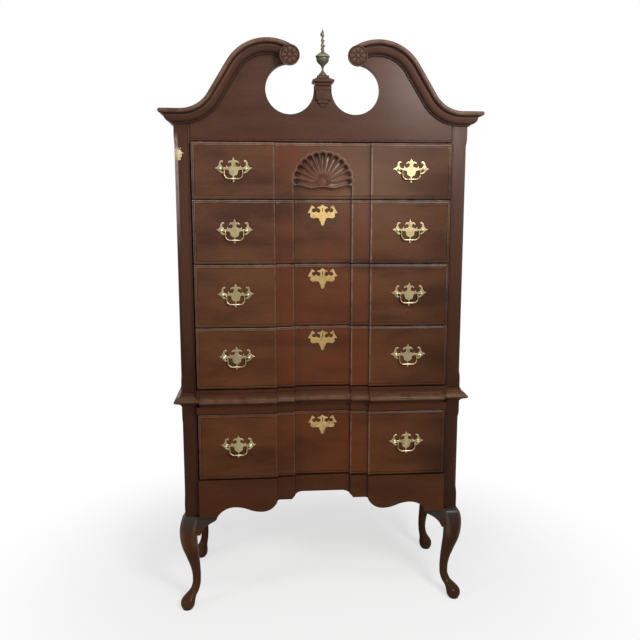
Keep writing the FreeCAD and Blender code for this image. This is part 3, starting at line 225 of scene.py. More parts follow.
def lofted(rings: Array, wear: Array | None = None) -> Shape:
    """A closed surface through rings of points, with a flat face on the first and on the last.

    Args:
        rings: Rings by points by three coordinates.
        wear: Scuffing, painted highlight and painted shade at each ring point, or nothing.

    Returns:
        The shape, its faces outwards.
    """
    rows, columns = rings.shape[:2]
    faces = quads(rows, columns, wrapped=True).tolist()
    faces += [list(range(columns))[::-1], list(range((rows - 1) * columns, rows * columns))]
    light_and_wear = np.zeros(rows * columns) if wear is None else np.broadcast_to(wear, (rows, columns)).ravel()
    return Shape(rings.reshape(-1, 3), faces, np.asarray(light_and_wear, float)).outwards()


def turned(profile: Array, sides: int, wear: Array) -> Shape:
    """A turning about the Z axis: each profile point's radius swept round a full circle.

    Args:
        profile: Radius and height, from the foot up.
        sides: Points in each circle.
        wear: Scuffing, painted highlight and painted shade at each profile point.

    Returns:
        The closed shape.
    """
    turn = np.linspace(0, 2 * np.pi, sides, endpoint=False)
    radius = np.maximum(profile[:, :1], 1e-5)
    rings = np.stack([radius * np.cos(turn), radius * np.sin(turn), profile[:, 1:] + 0 * turn], 2)
    return lofted(rings, wear[:, None])


# ---------------------------------------------------------------- node trees

Socket = bpy.types.NodeSocket


class Tree:
    """Adds nodes to one node tree and links them."""

    def __init__(self, tree: bpy.types.NodeTree) -> None:
        """Keeps the tree that nodes are added to."""
        self.tree = tree

    def add(self, kind: str, inputs: dict | None = None, **settings: object) -> bpy.types.Node:
        """A node with its inputs set or linked.

        Args:
            kind: The node's type without its leading ShaderNode.
            inputs: Value or socket for each input, by name or number.
            **settings: Values of the node's own properties.

        Returns:
            The new node.
        """
        node = self.tree.nodes.new(kind if kind.startswith("Node") else f"ShaderNode{kind}")
        for name, value in settings.items():
            setattr(node, name, value)
        for key, value in (inputs or {}).items():
            if isinstance(value, Socket):
                self.tree.links.new(value, node.inputs[key])
            elif isinstance(value, tuple) and len(value) == 3 and node.inputs[key].type == "RGBA":
                node.inputs[key].default_value = (*value, 1)
            else:
                node.inputs[key].default_value = value
        return node

    def maths(self, operation: str, *values: object) -> Socket:
        """The result of a Math node."""
        return self.add("Math", dict(enumerate(values)), operation=operation).outputs[0]

    def ramp(self, value: Socket, low: float, high: float, out_low: object = 0.0,
             out_high: object = 1.0) -> Socket:
        """A value carried from one range to another with a soft start and end."""
        inputs = {"Value": value, "From Min": low, "From Max": high, "To Min": out_low, "To Max": out_high}
        return self.add("MapRange", inputs, interpolation_type="SMOOTHSTEP").outputs[0]

    def blend(self, factor: object, first: object, second: object, kind: str = "MIX") -> Socket:
        """Two colours mixed by a factor."""
        inputs = {"Factor": factor, 6: first, 7: second}
        return self.add("Mix", inputs, data_type="RGBA", blend_type=kind).outputs[2]

    def noise(self, vector: Socket, scale: float, detail: float = 2.0, rough: float = 0.5) -> Socket:
        """The value of a Noise texture."""
        inputs = {"Vector": vector, "Scale": scale, "Detail": detail, "Roughness": rough}
        return self.add("TexNoise", inputs).outputs[0]

    def stretched(self, vector: Socket, scale: tuple[float, float, float]) -> Socket:
        """The vector with each coordinate multiplied."""
        return self.add("Mapping", {"Vector": vector, "Scale": scale}, vector_type="POINT").outputs[0]

    def end(self, shader: Socket, kind: str = "OutputMaterial") -> None:
        """Links the finished shader to the tree's output."""
        self.tree.links.new(shader, self.add(kind).inputs["Surface"])


def new_material(name: str) -> tuple[bpy.types.Material, Tree]:
    """An empty node material.

    Args:
        name: The material's name.

    Returns:
        The material and its tree.
    """
    made = bpy.data.materials.new(name)
    made.use_nodes = True
    made.node_tree.nodes.clear()
    return made, Tree(made.node_tree)


@dataclass(frozen=True)
class EffectGroup:
    """A named node group: its inputs and outputs, and what is built between them."""

    name: str
    inputs: tuple[tuple[str, str, object], ...]
    outputs: tuple[tuple[str, str], ...]

    def begin(self) -> tuple[Tree, bpy.types.Node, bpy.types.Node]:
        """Makes the empty group with its sockets.

        Returns:
            The group's tree, its input node and its output node.
        """
        group = bpy.data.node_groups.new(self.name, "ShaderNodeTree")
        for name, kind, value in self.inputs:
            socket = group.interface.new_socket(name, in_out="INPUT", socket_type=f"NodeSocket{kind}")
            if value is not None:
                socket.default_value = (*value, 1) if kind == "Color" else value
        for name, kind in self.outputs:
            group.interface.new_socket(name, in_out="OUTPUT", socket_type=f"NodeSocket{kind}")
        tree = Tree(group)
        return tree, tree.add("NodeGroupInput"), tree.add("NodeGroupOutput")


class Effects:
    """The node groups that several finishes share, each built once."""

    DRIFT = (0.8, 3.0, 3.0)
    STREAKS = (4.5, 17.0, 17.0)
    FIBRES = (7.0, 240.0, 240.0)
    PORES = (45.0, 1300.0, 1300.0)
    CLOUDS = (5.0, 9.0, 9.0)
    PORE_TONE = (0.012, 0.006, 0.004)

    def __init__(self) -> None:
        """Builds every group."""
        self.figure = self._figure()
        self.arris = self._arris()
        self.hollow = self._hollow_shade_and_dirt()

    @classmethod
    def _figure(cls) -> bpy.types.NodeTree:
        """Wood figure along X: broad streaks, fine fibres, short pores and patches of tone.

        Returns:
            The group, which puts out a colour, a height for the pores and a small change of gloss.
        """
        tree, given, out = EffectGroup(
            "wood_figure",
            (("Vector", "Vector", None), ("Dark", "Color", (0, 0, 0)), ("Light", "Color", (1, 1, 1)),
             ("Patch", "Color", (1, 0, 0)), ("Patches", "Float", 0.5)),
            (("Color", "Color"), ("Height", "Float"), ("Gloss", "Float")),
        ).begin()
        place = given.outputs["Vector"]
        drift = tree.maths("MULTIPLY", tree.noise(tree.stretched(place, cls.DRIFT), 1.0), 0.10)
        aside = tree.add("CombineXYZ", {"X": 0.0, "Y": drift, "Z": drift}).outputs[0]
        bent = tree.add("VectorMath", {0: place, 1: aside}, operation="ADD").outputs[0]
        streak = tree.noise(tree.stretched(bent, cls.STREAKS), 1.0, 3.0, 0.45)
        fibre = tree.noise(tree.stretched(bent, cls.FIBRES), 1.0, 3.0, 0.6)
        pores = tree.noise(tree.stretched(bent, cls.PORES), 1.0, 1.0)
        patch = tree.noise(tree.stretched(place, cls.CLOUDS), 1.0, 2.0, 0.45)
        tone = tree.blend(tree.ramp(streak, 0.32, 0.68), given.outputs["Dark"], given.outputs["Light"])
        shift = tree.maths("MULTIPLY", tree.ramp(patch, 0.42, 0.66), given.outputs["Patches"])
        tone = tree.blend(shift, tone, given.outputs["Patch"])
        tone = tree.blend(1.0, tone, tree.ramp(fibre, 0.25, 0.75, 0.95, 1.05), "MULTIPLY")
        pore = tree.ramp(pores, 0.60, 0.70)
        tone = tree.blend(tree.maths("MULTIPLY", pore, 0.45), tone, cls.PORE_TONE)
        height = tree.maths("SUBTRACT", tree.maths("MULTIPLY", fibre, 0.3), pore)
        tree.tree.links.new(tone, out.inputs["Color"])
        tree.tree.links.new(height, out.inputs["Height"])
        tree.tree.links.new(tree.ramp(patch, 0.3, 0.7, -0.015, 0.02), out.inputs["Gloss"])
        return tree.tree

    @staticmethod
    def _arris() -> bpy.types.NodeTree:
        """Outer edges scuffed and given a painted highlight, broken by noise.

        Returns:
            The group. Its mask is 1 close to a convex arris, or where the piece's wear attribute is high.
        """
        tree, given, out = EffectGroup(
            "arris_rub_and_highlight",
            (("Vector", "Vector", None), ("Reach", "Float", 0.0018), ("Strength", "Float", 1.0)),
            (("Mask", "Float"),),
        ).begin()
        inside = tree.add("AmbientOcclusion", {"Distance": given.outputs["Reach"]},
                          samples=6, inside=True, only_local=True).outputs["AO"]
        edge = tree.ramp(inside, 0.60, 0.22)
        own = tree.add("Attribute", attribute_name="wear").outputs["Fac"]
        spots = tree.ramp(tree.noise(given.outputs["Vector"], 26.0, 3.0, 0.65), 0.30, 0.62, 0.25, 1.0)
        mask = tree.maths("MULTIPLY", tree.maths("MAXIMUM", edge, own), spots)
        mask = tree.maths("MULTIPLY", mask, given.outputs["Strength"])
        tree.tree.links.new(mask, out.inputs["Mask"])
        return tree.tree

    @staticmethod
    def _hollow_shade_and_dirt() -> bpy.types.NodeTree:
        """Painted shade in hollows, inner corners and between parts, with old polish and dust.

        Returns:
            The group. Its mask is 1 deep in a hollow, or where the piece's wear attribute is below 0.
        """
        tree, given, out = EffectGroup(
            "hollow_shade_and_dirt",
            (("Vector", "Vector", None), ("Reach", "Float", 0.012), ("Strength", "Float", 1.0)),
            (("Mask", "Float"),),
        ).begin()
        near = tree.add("AmbientOcclusion", {"Distance": given.outputs["Reach"]}, samples=6).outputs["AO"]
        patchy = tree.ramp(tree.noise(given.outputs["Vector"], 60.0), 0.2, 0.7, 0.6, 1.0)
        own = tree.maths("MULTIPLY", tree.add("Attribute", attribute_name="wear").outputs["Fac"], -1.0)
        # Painted shade: darker where the surface is enclosed.
        deep = tree.maths("MAXIMUM", tree.ramp(near, 0.88, 0.30), own)
        mask = tree.maths("MULTIPLY", tree.maths("MULTIPLY", deep, patchy), given.outputs["Strength"])
        tree.tree.links.new(mask, out.inputs["Mask"])
        return tree.tree


class Grain(Enum):
    """Which way the wood's fibres run."""

    ACROSS = (0.0, 0.0, 0.0)
    UPRIGHT = (0.0, math.pi / 2, 0.0)
    DEEP = (0.0, 0.0, math.pi / 2)


@dataclass(frozen=True)
class Ageing:
    """Where the varnish is redder, where painted shade, sheen, reflection and highlights lie on it and where
    a pale spot is, in metres, with their tones.
    """

    red_edge: tuple[float, float] = (0.170, 0.150)
    # Painted shade: below these heights the colour is multiplied by a darker tint.
    low_shade_heights: tuple[float, float] = (1.55, 0.35)
    # Painted shade: darker towards the right and low down.
    shade_across: tuple[float, float] = (0.22, 0.46)
    shade_heights: tuple[float, float] = (1.45, 0.72)
    shade_shares: tuple[float, float] = (0.22, 0.55)
    shade_tone: Colour = (0.014, 0.007, 0.005)
    # Painted reflection: a grey haze across the knee tops.
    knee_reflection_heights: tuple[float, float] = (0.262, 0.325)
    knee_reflection_tone: Colour = (0.032, 0.031, 0.029)
    # Painted sheen: a pale haze round a point on the fronts, or rising up and to the right on the case and
    # posts.
    sheen_middle: tuple[float, float, float] = (0.13, -0.19, 1.47)
    sheen_reach: tuple[float, float] = (0.28, 0.04)
    sheen_lean: float = 0.55
    sheen_rise: tuple[float, float] = (1.45, 2.05)
    front_sheen: float = 0.4
    case_sheen: float = 0.2
    post_sheen: float = 0.75
    # Painted highlight: edge lines grow from this share at the lower height to full at the upper.
    edge_light_heights: tuple[float, float] = (0.7, 1.6)
    edge_light_low: float = 0.4
    # Painted highlight on the left chamfer: its edge, its lower and upper ends, and its tone.
    chamfer_edge: tuple[float, float] = (-0.4520, -0.4550)
    chamfer_low: tuple[float, float] = (1.20, 1.46)
    chamfer_top: tuple[float, float] = (1.60, 1.55)
    chamfer_highlight_tone: Colour = (0.34, 0.26, 0.245)
    # A pale ragged spot on the left stile: its middle, its sharpness and its two tones.
    pale_spot_place: tuple[float, float, float] = (-0.4560, 0.0, 1.528)
    pale_spot_sharpness: tuple[float, float, float] = (58.0, 0.0, 47.0)
    pale_spot_light: Colour = (0.66, 0.55, 0.36)
    pale_spot_dark: Colour = (0.45, 0.36, 0.18)


AGE = Ageing()


@dataclass(frozen=True)
class Wood:
    """A varnished or plain wood: the tones of its figure, its polish, how much it has aged and the light and
    shade painted on it.
    """

    name: str
    slot: str
    dark: Colour
    light: Colour
    patch: Colour
    patches: float
    roughness: float
    rubbed_highlight: Colour
    rub_highlight: float
    shade_and_dirt_tone: Colour
    shade_and_dirt: float
    red_middle: float = 0.0
    red: Colour = (0.115, 0.033, 0.018)
    specular: float = 0.04
    coat: float = 0.09
    tint: Colour = (1.0, 0.84, 0.70)
    # Whether painted shade, sheen and reflection by place are laid on; lower is the tint of the painted shade
    # towards the floor.
    painted_light: bool = True
    lower: Colour = (0.84, 0.62, 0.34)
    painted_sheen: Colour = (0.150, 0.100, 0.085)
    post_highlights: bool = False
    right_shade: float = 0.0
    knee_reflection: float = 0.0

    def material(self, effects: Effects, grain: Grain) -> bpy.types.Material:
        """The finish with its fibres along one direction.

        Args:
            effects: The shared node groups.
            grain: Direction of the fibres.

        Returns:
            The material, made once for each direction.
        """
        name = f"{self.name}_{grain.name.lower()}"
        if name in bpy.data.materials:
            return bpy.data.materials[name]
        made, tree = new_material(name)
        place = tree.add("TexCoord").outputs["Object"]
        axes = tree.add("SeparateXYZ", {0: place}).outputs
        along = tree.add("Mapping", {"Vector": place, "Rotation": grain.value}, vector_type="POINT")
        figure = tree.add("Group", node_tree=effects.figure)
        tree.tree.links.new(along.outputs[0], figure.inputs["Vector"])
        for socket, tone in (("Dark", self.dark), ("Light", self.light), ("Patch", self.patch)):
            figure.inputs[socket].default_value = (*tone, 1)
        figure.inputs["Patches"].default_value = self.patches
        # Painted shade with old polish and dust in hollows and between parts.
        hollow = tree.add("Group", {"Vector": place, "Strength": self.shade_and_dirt}, node_tree=effects.hollow)
        # Edge scuffing with a painted highlight, stronger higher up.
        strength = tree.ramp(axes["Z"], *AGE.edge_light_heights, AGE.edge_light_low * self.rub_highlight, self.rub_highlight)
        arris = tree.add("Group", {"Vector": place, "Strength": strength}, node_tree=effects.arris)
        colour = self._aged(tree, place, axes, figure.outputs["Color"])
        colour = tree.blend(hollow.outputs["Mask"], colour, self.shade_and_dirt_tone)
        colour = tree.blend(arris.outputs["Mask"], colour, self.rubbed_highlight)
        # Painted highlight on the left stile's chamfer, and a pale spot beside it.
        if self.post_highlights:
            colour = self._chamfer_highlight(tree, place, axes, colour)
        rough = tree.maths("ADD", figure.outputs["Gloss"], self.roughness)
        rough = tree.maths("ADD", rough, tree.maths("MULTIPLY", arris.outputs["Mask"], 0.12))
        rough = tree.maths("ADD", rough, tree.maths("MULTIPLY", hollow.outputs["Mask"], 0.25))
        pores = {"Strength": 0.12, "Distance": 0.0004, "Height": figure.outputs["Height"]}
        tree.end(tree.add("BsdfPrincipled", {
            "Base Color": colour, "Roughness": rough, "Normal": tree.add("Bump", pores).outputs[0],
            "Specular IOR Level": self.specular, "Specular Tint": (*self.tint, 1),
            "Coat Weight": self.coat, "Coat Roughness": 0.18,
        }).outputs[0])
        return made

    def _aged(self, tree: Tree, place: Socket, axes: object, colour: Socket) -> Socket:
        """The redder middle, the painted shade towards the floor and at the right, the painted reflection on
        the knees and the painted sheen.

        Args:
            tree: Where the nodes go.
            place: Position in the object's own frame.
            axes: Its three coordinates.
            colour: The figure's colour.

        Returns:
            The colour with all that this finish has of them.
        """
        if self.red_middle:
            middle = tree.ramp(tree.maths("ABSOLUTE", axes["X"]), *AGE.red_edge)
            cloud = tree.ramp(tree.noise(place, 9.0, 3.0), 0.35, 0.6)
            share = tree.maths("MULTIPLY", tree.maths("MULTIPLY", middle, self.red_middle), cloud)
            colour = tree.blend(share, colour, self.red)
        if not self.painted_light:
            return colour
        # Painted shade: darker towards the floor.
        shaded_low = tree.blend(1.0, colour, self.lower, "MULTIPLY")
        colour = tree.blend(tree.ramp(axes["Z"], *AGE.low_shade_heights), colour, shaded_low)
        # Painted shade: darker at the right, low down.
        if self.right_shade:
            share = tree.ramp(axes["Z"], *AGE.shade_heights, *AGE.shade_shares)
            share = tree.maths("MULTIPLY", tree.ramp(axes["X"], *AGE.shade_across), share)
            colour = tree.blend(tree.maths("MULTIPLY", share, self.right_shade), colour, AGE.shade_tone)
        # Painted reflection: a grey haze on the knee tops.
        if self.knee_reflection:
            share = tree.ramp(axes["Z"], *AGE.knee_reflection_heights, 0.0, self.knee_reflection)
            colour = tree.blend(share, colour, AGE.knee_reflection_tone)
        # Painted sheen: a pale haze laid over the colour.
        if self.red_middle:
            far = tree.add("VectorMath", {0: place, 1: AGE.sheen_middle}, operation="DISTANCE")
            share = tree.ramp(far.outputs["Value"], *AGE.sheen_reach, 0.0, AGE.front_sheen)
        else:
            slope = tree.maths("ADD", axes["Z"], tree.maths("MULTIPLY", axes["X"], AGE.sheen_lean))
            most = AGE.post_sheen if self.post_highlights else AGE.case_sheen
            share = tree.ramp(slope, *AGE.sheen_rise, 0.0, most)
        return tree.blend(share, colour, self.painted_sheen)

    @staticmethod
    def _chamfer_highlight(tree: Tree, place: Socket, axes: object, colour: Socket) -> Socket:
        """A painted highlight on the left chamfer below its upper tongue, and a pale ragged spot beside it.

        Args:
            tree: Where the nodes go.
            place: Position in the object's own frame.
            axes: Its three coordinates.
            colour: The varnish's colour.

        Returns:
            The colour with both marks.
        """
        cloud = tree.noise(place, 40.0)
        light_and_wear = tree.ramp(cloud, 0.2, 0.6, 0.65, 0.9)
        for axis, edges in (("X", AGE.chamfer_edge), ("Z", AGE.chamfer_low), ("Z", AGE.chamfer_top)):
            light_and_wear = tree.maths("MULTIPLY", light_and_wear, tree.ramp(axes[axis], *edges))
        # Painted highlight: the chamfer made pale.
        colour = tree.blend(light_and_wear, colour, AGE.chamfer_highlight_tone)
        # A pale ragged spot beside the chamfer.
        middle = tree.add("VectorMath", {0: place, 1: AGE.pale_spot_place}, operation="SUBTRACT").outputs[0]
        oval = tree.stretched(middle, AGE.pale_spot_sharpness)
        far = tree.add("VectorMath", {0: oval}, operation="LENGTH").outputs["Value"]
        ragged = tree.maths("ADD", far, tree.ramp(tree.noise(place, 150.0, 3.0), 0.2, 0.8, -0.3, 0.3))
        pale_spot = tree.blend(tree.ramp(cloud, 0.35, 0.65), AGE.pale_spot_light, AGE.pale_spot_dark)
        return tree.blend(tree.ramp(ragged, 1.0, 0.85), colour, pale_spot)


@dataclass(frozen=True)
class Metal:
    """A cast and lacquered brass: clean colour, tarnish in the hollows and edges polished by handling, with a
    painted highlight on them.
    """

    name: str
    slot: str
    clean: Colour
    tarnish: Colour
    edge_highlight: Colour
    roughness: float
    hollow_reach: float = 0.004
    edge_reach: float = 0.0015

    def material(self, effects: Effects, _grain: Grain = Grain.ACROSS) -> bpy.types.Material:
        """The metal's material.

        Args:
            effects: The shared node groups.
            _grain: Not used, since a casting has no fibres; woods and metals are asked in the same way.

        Returns:
            The material, made once.
        """
        if self.name in bpy.data.materials:
            return bpy.data.materials[self.name]
        made, tree = new_material(self.name)
        place = tree.add("TexCoord").outputs["Object"]
        cloud = tree.noise(place, 38.0, 3.0, 0.6)
        grit = tree.noise(place, 900.0, 2.0, 0.6)
        hollow = {"Vector": place, "Reach": self.hollow_reach, "Strength": 0.8}
        arris = {"Vector": place, "Reach": self.edge_reach, "Strength": 1.0}
        colour = tree.blend(tree.ramp(cloud, 0.38, 0.70), self.clean, self.tarnish)
        layers = ((effects.hollow, hollow, self.tarnish), (effects.arris, arris, self.edge_highlight))
        for group, inputs, tone in layers:
            mask = tree.add("Group", inputs, node_tree=group).outputs["Mask"]
            colour = tree.blend(mask, colour, tone)
        rough = tree.ramp(cloud, 0.3, 0.8, self.roughness - 0.05, self.roughness + 0.16)
        relief = tree.add("Bump", {"Strength": 0.25, "Distance": 0.0002, "Height": grit})
        tree.end(tree.add("BsdfPrincipled", {
            "Base Color": colour, "Roughness": rough, "Metallic": 1.0, "Normal": relief.outputs[0],
        }).outputs[0])
        return made


CASE = Wood("case_varnish", "case_wood", dark=(0.054, 0.0235, 0.0155), light=(0.070, 0.031, 0.0195),
            patch=(0.084, 0.030, 0.018), patches=0.4, roughness=0.30, rubbed_highlight=(0.30, 0.19, 0.13), rub_highlight=0.7,
            shade_and_dirt_tone=(0.012, 0.005, 0.003), shade_and_dirt=0.9)
FRONTS = Wood("front_varnish", "drawer_front_wood", dark=(0.058, 0.025, 0.0155), light=(0.092, 0.041, 0.0235),
              patch=(0.120, 0.053, 0.024), patches=0.5, roughness=0.25, rubbed_highlight=(0.44, 0.33, 0.27), rub_highlight=0.8,
              shade_and_dirt_tone=(0.014, 0.005, 0.003), shade_and_dirt=0.95, red_middle=0.5, painted_sheen=(0.155, 0.095, 0.062), right_shade=1.0)
# WAIST: a lighter painted highlight band on the moulding and less painted shade under its nose.
WAIST = replace(CASE, name="waist_varnish", rubbed_highlight=(0.23, 0.145, 0.085), rub_highlight=1.1, shade_and_dirt=0.5)
# POSTS: deeper painted shade low on the stiles, a stronger painted sheen and the painted chamfer highlight.
POSTS = replace(CASE, name="post_varnish", lower=(0.52, 0.42, 0.28), post_highlights=True)
INNER = Wood("inner_boards", "inner_wood", dark=(0.50, 0.34, 0.195), light=(0.58, 0.41, 0.245),
             patch=(0.53, 0.36, 0.21), patches=0.4, roughness=0.62, rubbed_highlight=(0.72, 0.55, 0.36), rub_highlight=0.4,
             shade_and_dirt_tone=(0.20, 0.12, 0.07), shade_and_dirt=0.6, specular=0.3, coat=0.0, painted_light=False)
FINIAL = Wood("finial_antique", "finial", dark=(0.062, 0.055, 0.038), light=(0.13, 0.115, 0.080),
              patch=(0.10, 0.075, 0.050), patches=0.4, roughness=0.36, rubbed_highlight=(0.36, 0.33, 0.24), rub_highlight=0.9,
              shade_and_dirt_tone=(0.012, 0.011, 0.008), shade_and_dirt=0.9, specular=0.3, painted_light=False)
# LEGS: painted shade on the right and a painted reflection on the knee tops.
LEGS = Wood("leg_varnish", "case_wood", dark=(0.046, 0.021, 0.0135), light=(0.080, 0.036, 0.021),
            patch=(0.085, 0.035, 0.018), patches=0.4, roughness=0.24, rubbed_highlight=(0.28, 0.18, 0.12), rub_highlight=0.8,
            shade_and_dirt_tone=(0.012, 0.008, 0.005), shade_and_dirt=0.8, right_shade=0.8, knee_reflection=0.75)
BACK = Wood("back_boards", "inner_wood", dark=(0.21, 0.14, 0.085), light=(0.27, 0.185, 0.115),
            patch=(0.22, 0.15, 0.09), patches=0.3, roughness=0.7, rubbed_highlight=(0.42, 0.32, 0.21), rub_highlight=0.35,
            shade_and_dirt_tone=(0.06, 0.04, 0.025), shade_and_dirt=0.7, specular=0.3, coat=0.0)
# KEYHOLE_SHADE: near black, for the painted shade inside the keyholes.
KEYHOLE_SHADE = Wood("keyhole_painted_shade", "drawer_front_wood", dark=(0.004, 0.003, 0.002), light=(0.010, 0.007, 0.005),
               patch=(0.008, 0.005, 0.004), patches=0.3, roughness=0.8, rubbed_highlight=(0.02, 0.015, 0.01), rub_highlight=0.2,
               shade_and_dirt_tone=(0.003, 0.002, 0.002), shade_and_dirt=0.5, coat=0.0)
BRASS = Metal("cast_brass", "brass", clean=(0.44, 0.35, 0.175), tarnish=(0.20, 0.155, 0.075),
              edge_highlight=(1.0, 0.86, 0.64), roughness=0.34)
GILT = replace(BRASS, name="gilt_brass", clean=(0.62, 0.42, 0.165), tarnish=(0.26, 0.17, 0.065),
               edge_highlight=(0.86, 0.62, 0.32))


# ---------------------------------------------------------------- placing pieces

@dataclass
class Workshop:
    """Puts finished pieces on their bodies and counts them."""

    effects: Effects = field(default_factory=Effects)
    count: int = 0
    same_place: float = 0.02 * MM
    flat_angle: float = 1.0
    crease: float = 32.0
    eased_angle: float = 35.0

    def place(self, name: str, shape: Shape, finish: Wood | Metal, body: str,
              replaces: tuple[str, ...] = (), grain: Grain = Grain.ACROSS,
              crease: float | None = None) -> bpy.types.Object:
        """Makes a mesh of a shape, dresses it and lets it ride.

        Args:
            name: The piece's name.
            shape: Its surface.
            finish: Its wood or metal.
            body: CAD body that it moves with.
            replaces: CAD nodes that it stands for.
            grain: Direction of the fibres.
            crease: Angle in degrees above which an edge stays sharp, or nothing for the usual one.

        Returns:
            The new object.
        """
        mesh = bpy.data.meshes.new(name)
        mesh.from_pydata(shape.points.tolist(), [], shape.faces)
        # The wear attribute: above 0 scuffing and painted highlight, below 0 painted shade and dust.
        wear = mesh.attributes.new("wear", "FLOAT", "POINT")
        wear.data.foreach_set("value", shape.wear.astype(np.float32))
        return self._finish(name, mesh, finish, body, replaces, grain, crease or self.crease)

    def softened(self, name: str, node: str, finish: Wood | Metal, body: str, width: float,
                 grain: Grain = Grain.ACROSS, kept: float = 1.0) -> bpy.types.Object:
        """A merged copy of a CAD node with its arrises eased.

        A copy that is made lower keeps its top: each height becomes top - kept * (top - height).

        Args:
            name: The piece's name.
            node: The CAD node that is copied and stood for.
            finish: Its wood or metal.
            body: CAD body that it moves with.
            width: Width of the eased arris.
            grain: Direction of the fibres.
            kept: Share of its height that is kept.

        Returns:
            The new object.
        """
        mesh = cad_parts[node].data.copy()
        mesh.name = name
        work = bmesh.new()
        work.from_mesh(mesh)
        bmesh.ops.remove_doubles(work, verts=work.verts, dist=self.same_place)
        flat = math.radians(self.flat_angle)
        bmesh.ops.dissolve_limit(work, angle_limit=flat, verts=work.verts, edges=work.edges)
        work.to_mesh(mesh)
        work.free()
        if kept != 1:
            places = np.empty(3 * len(mesh.vertices), np.float32)
            mesh.vertices.foreach_get("co", places)
            top = places[2::3].max()
            places[2::3] = top - kept * (top - places[2::3])
            mesh.vertices.foreach_set("co", places)
        made = self._finish(name, mesh, finish, body, (node,), grain, self.crease)
        ease = made.modifiers.new("eased_arris", "BEVEL")
        ease.width, ease.segments, ease.limit_method = width, 2, "ANGLE"
        ease.angle_limit = math.radians(self.eased_angle)
        ease.harden_normals = False
        return made

    def dress(self, node: str, finish: Wood | Metal, grain: Grain = Grain.ACROSS) -> None:
        """Gives a CAD node that stays as it is its material.

        Args:
            node: The CAD node.
            finish: Its wood or metal.
            grain: Direction of the fibres.
        """
        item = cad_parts[node]
        item.data.materials.clear()
        item.data.materials.append(finish.material(self.effects, grain))
        LOG.info("dressed %s", node)

    def _finish(self, name: str, mesh: bpy.types.Mesh, finish: Wood | Metal, body: str,
                replaces: tuple[str, ...], grain: Grain, crease: float) -> bpy.types.Object:
        """Shades, dresses and places a mesh.

        Args:
            name: The piece's name.
            mesh: Its mesh, in the part's own frame.
            finish: Its wood or metal.
            body: CAD body that it moves with.
            replaces: CAD nodes that it stands for.
            grain: Direction of the fibres.
            crease: Angle in degrees above which an edge stays sharp.

        Returns:
            The new object.
        """
        mesh.materials.clear()
        mesh.materials.append(finish.material(self.effects, grain))
        mesh.shade_smooth()
        mesh.set_sharp_from_angle(angle=math.radians(crease))
        made = bpy.data.objects.new(name, mesh)
        bpy.context.scene.collection.objects.link(made)
        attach(made, body)
        if replaces:
            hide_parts(*replaces)
        self.count += 1
        LOG.info("placed %s: %d points", name, len(mesh.vertices))
        return made


# ---------------------------------------------------------------- blocked fronts

@dataclass(frozen=True)
class BlockPlan:
    """Plan of the blocked fronts: two outer blocks stand proud, the middle steps back into a recess."""

    front_y: float = -177 * MM
    block: float = 20 * MM
    middle: float = 7 * MM
    recess: float = -7 * MM
    block_inner: float = 153 * MM
    recess_half: float = 93 * MM
    cove: float = 10 * MM
    lead: float = 1.5 * MM
    trail: tuple[float, ...] = (1.2 * MM, 3 * MM, 6 * MM, 9 * MM)
    worn_reach: float = 2.6 * MM
    worn_left: float = 0.3
    worn_right: float = 0.8

    def steps(self, recessed: bool = True) -> list[tuple[float, float, float]]:
        """Edge, lower level and upper level of each step, from the centre outwards."""
        outer = (self.block_inner, self.middle, self.block)
        return [(self.recess_half, self.recess, self.middle), outer] if recessed else [outer]

    def columns(self) -> Array:
        """Distances from the centre line that the steps need, close together on their rounds.

        Returns:
            Rising distances.
        """
        turn = np.radians(np.linspace(0, 90, 7))
        parts = []
        for edge, low, high in self.steps():
            hollow, nose = edge - self.cove, high - low - self.cove
            parts += [[hollow - self.lead], hollow + self.cove * np.sin(turn),
                      edge + nose * (1 - np.cos(turn[1:])), edge + nose + np.array(self.trail)]
        return np.concatenate(parts)

    def proud(self, x: Array, recessed: bool = True) -> Array:
        """How far the face stands in front of the stiles' plane.

        Each step is a quarter-circle hollow that ends upright, then a quarter-circle nose.

        Args:
            x: Places across the front.
            recessed: Whether the centre is sunk.

        Returns:
            One length per place.
        """
        away, cove = np.abs(x), self.cove
        level = np.full_like(away, self.recess if recessed else self.middle)
        for edge, low, high in self.steps(recessed):
            nose = high - low - cove
            hollow = np.clip(away - (edge - cove), 0, cove)
            swell = np.clip(edge + nose - away, 0, nose)
            level = np.where(away > edge - cove, low + cove - np.sqrt(cove**2 - hollow**2), level)
            level = np.where(away > edge + 1e-9, high - nose + np.sqrt(nose**2 - swell**2), level)
        return level

    def wear(self, x: Array, recessed: bool = True) -> Array:
        """Scuffing and a painted highlight on the noses: a bell round the middle of each, stronger on the
        right.

        Args:
            x: Places across the front.
            recessed: Whether the centre is sunk.

        Returns:
            The value at each place.
        """
        level, light_and_wear = self.proud(x, recessed), np.zeros_like(x)
        for edge, low, high in self.steps(recessed):
            nose = high - low - self.cove
            far = np.hypot(np.abs(x) - edge - 0.3 * nose, level - high + 0.3 * nose)
            light_and_wear = np.maximum(light_and_wear, bump(far, 0, self.worn_reach))
        return light_and_wear * np.where(x > 0, self.worn_right, self.worn_left)


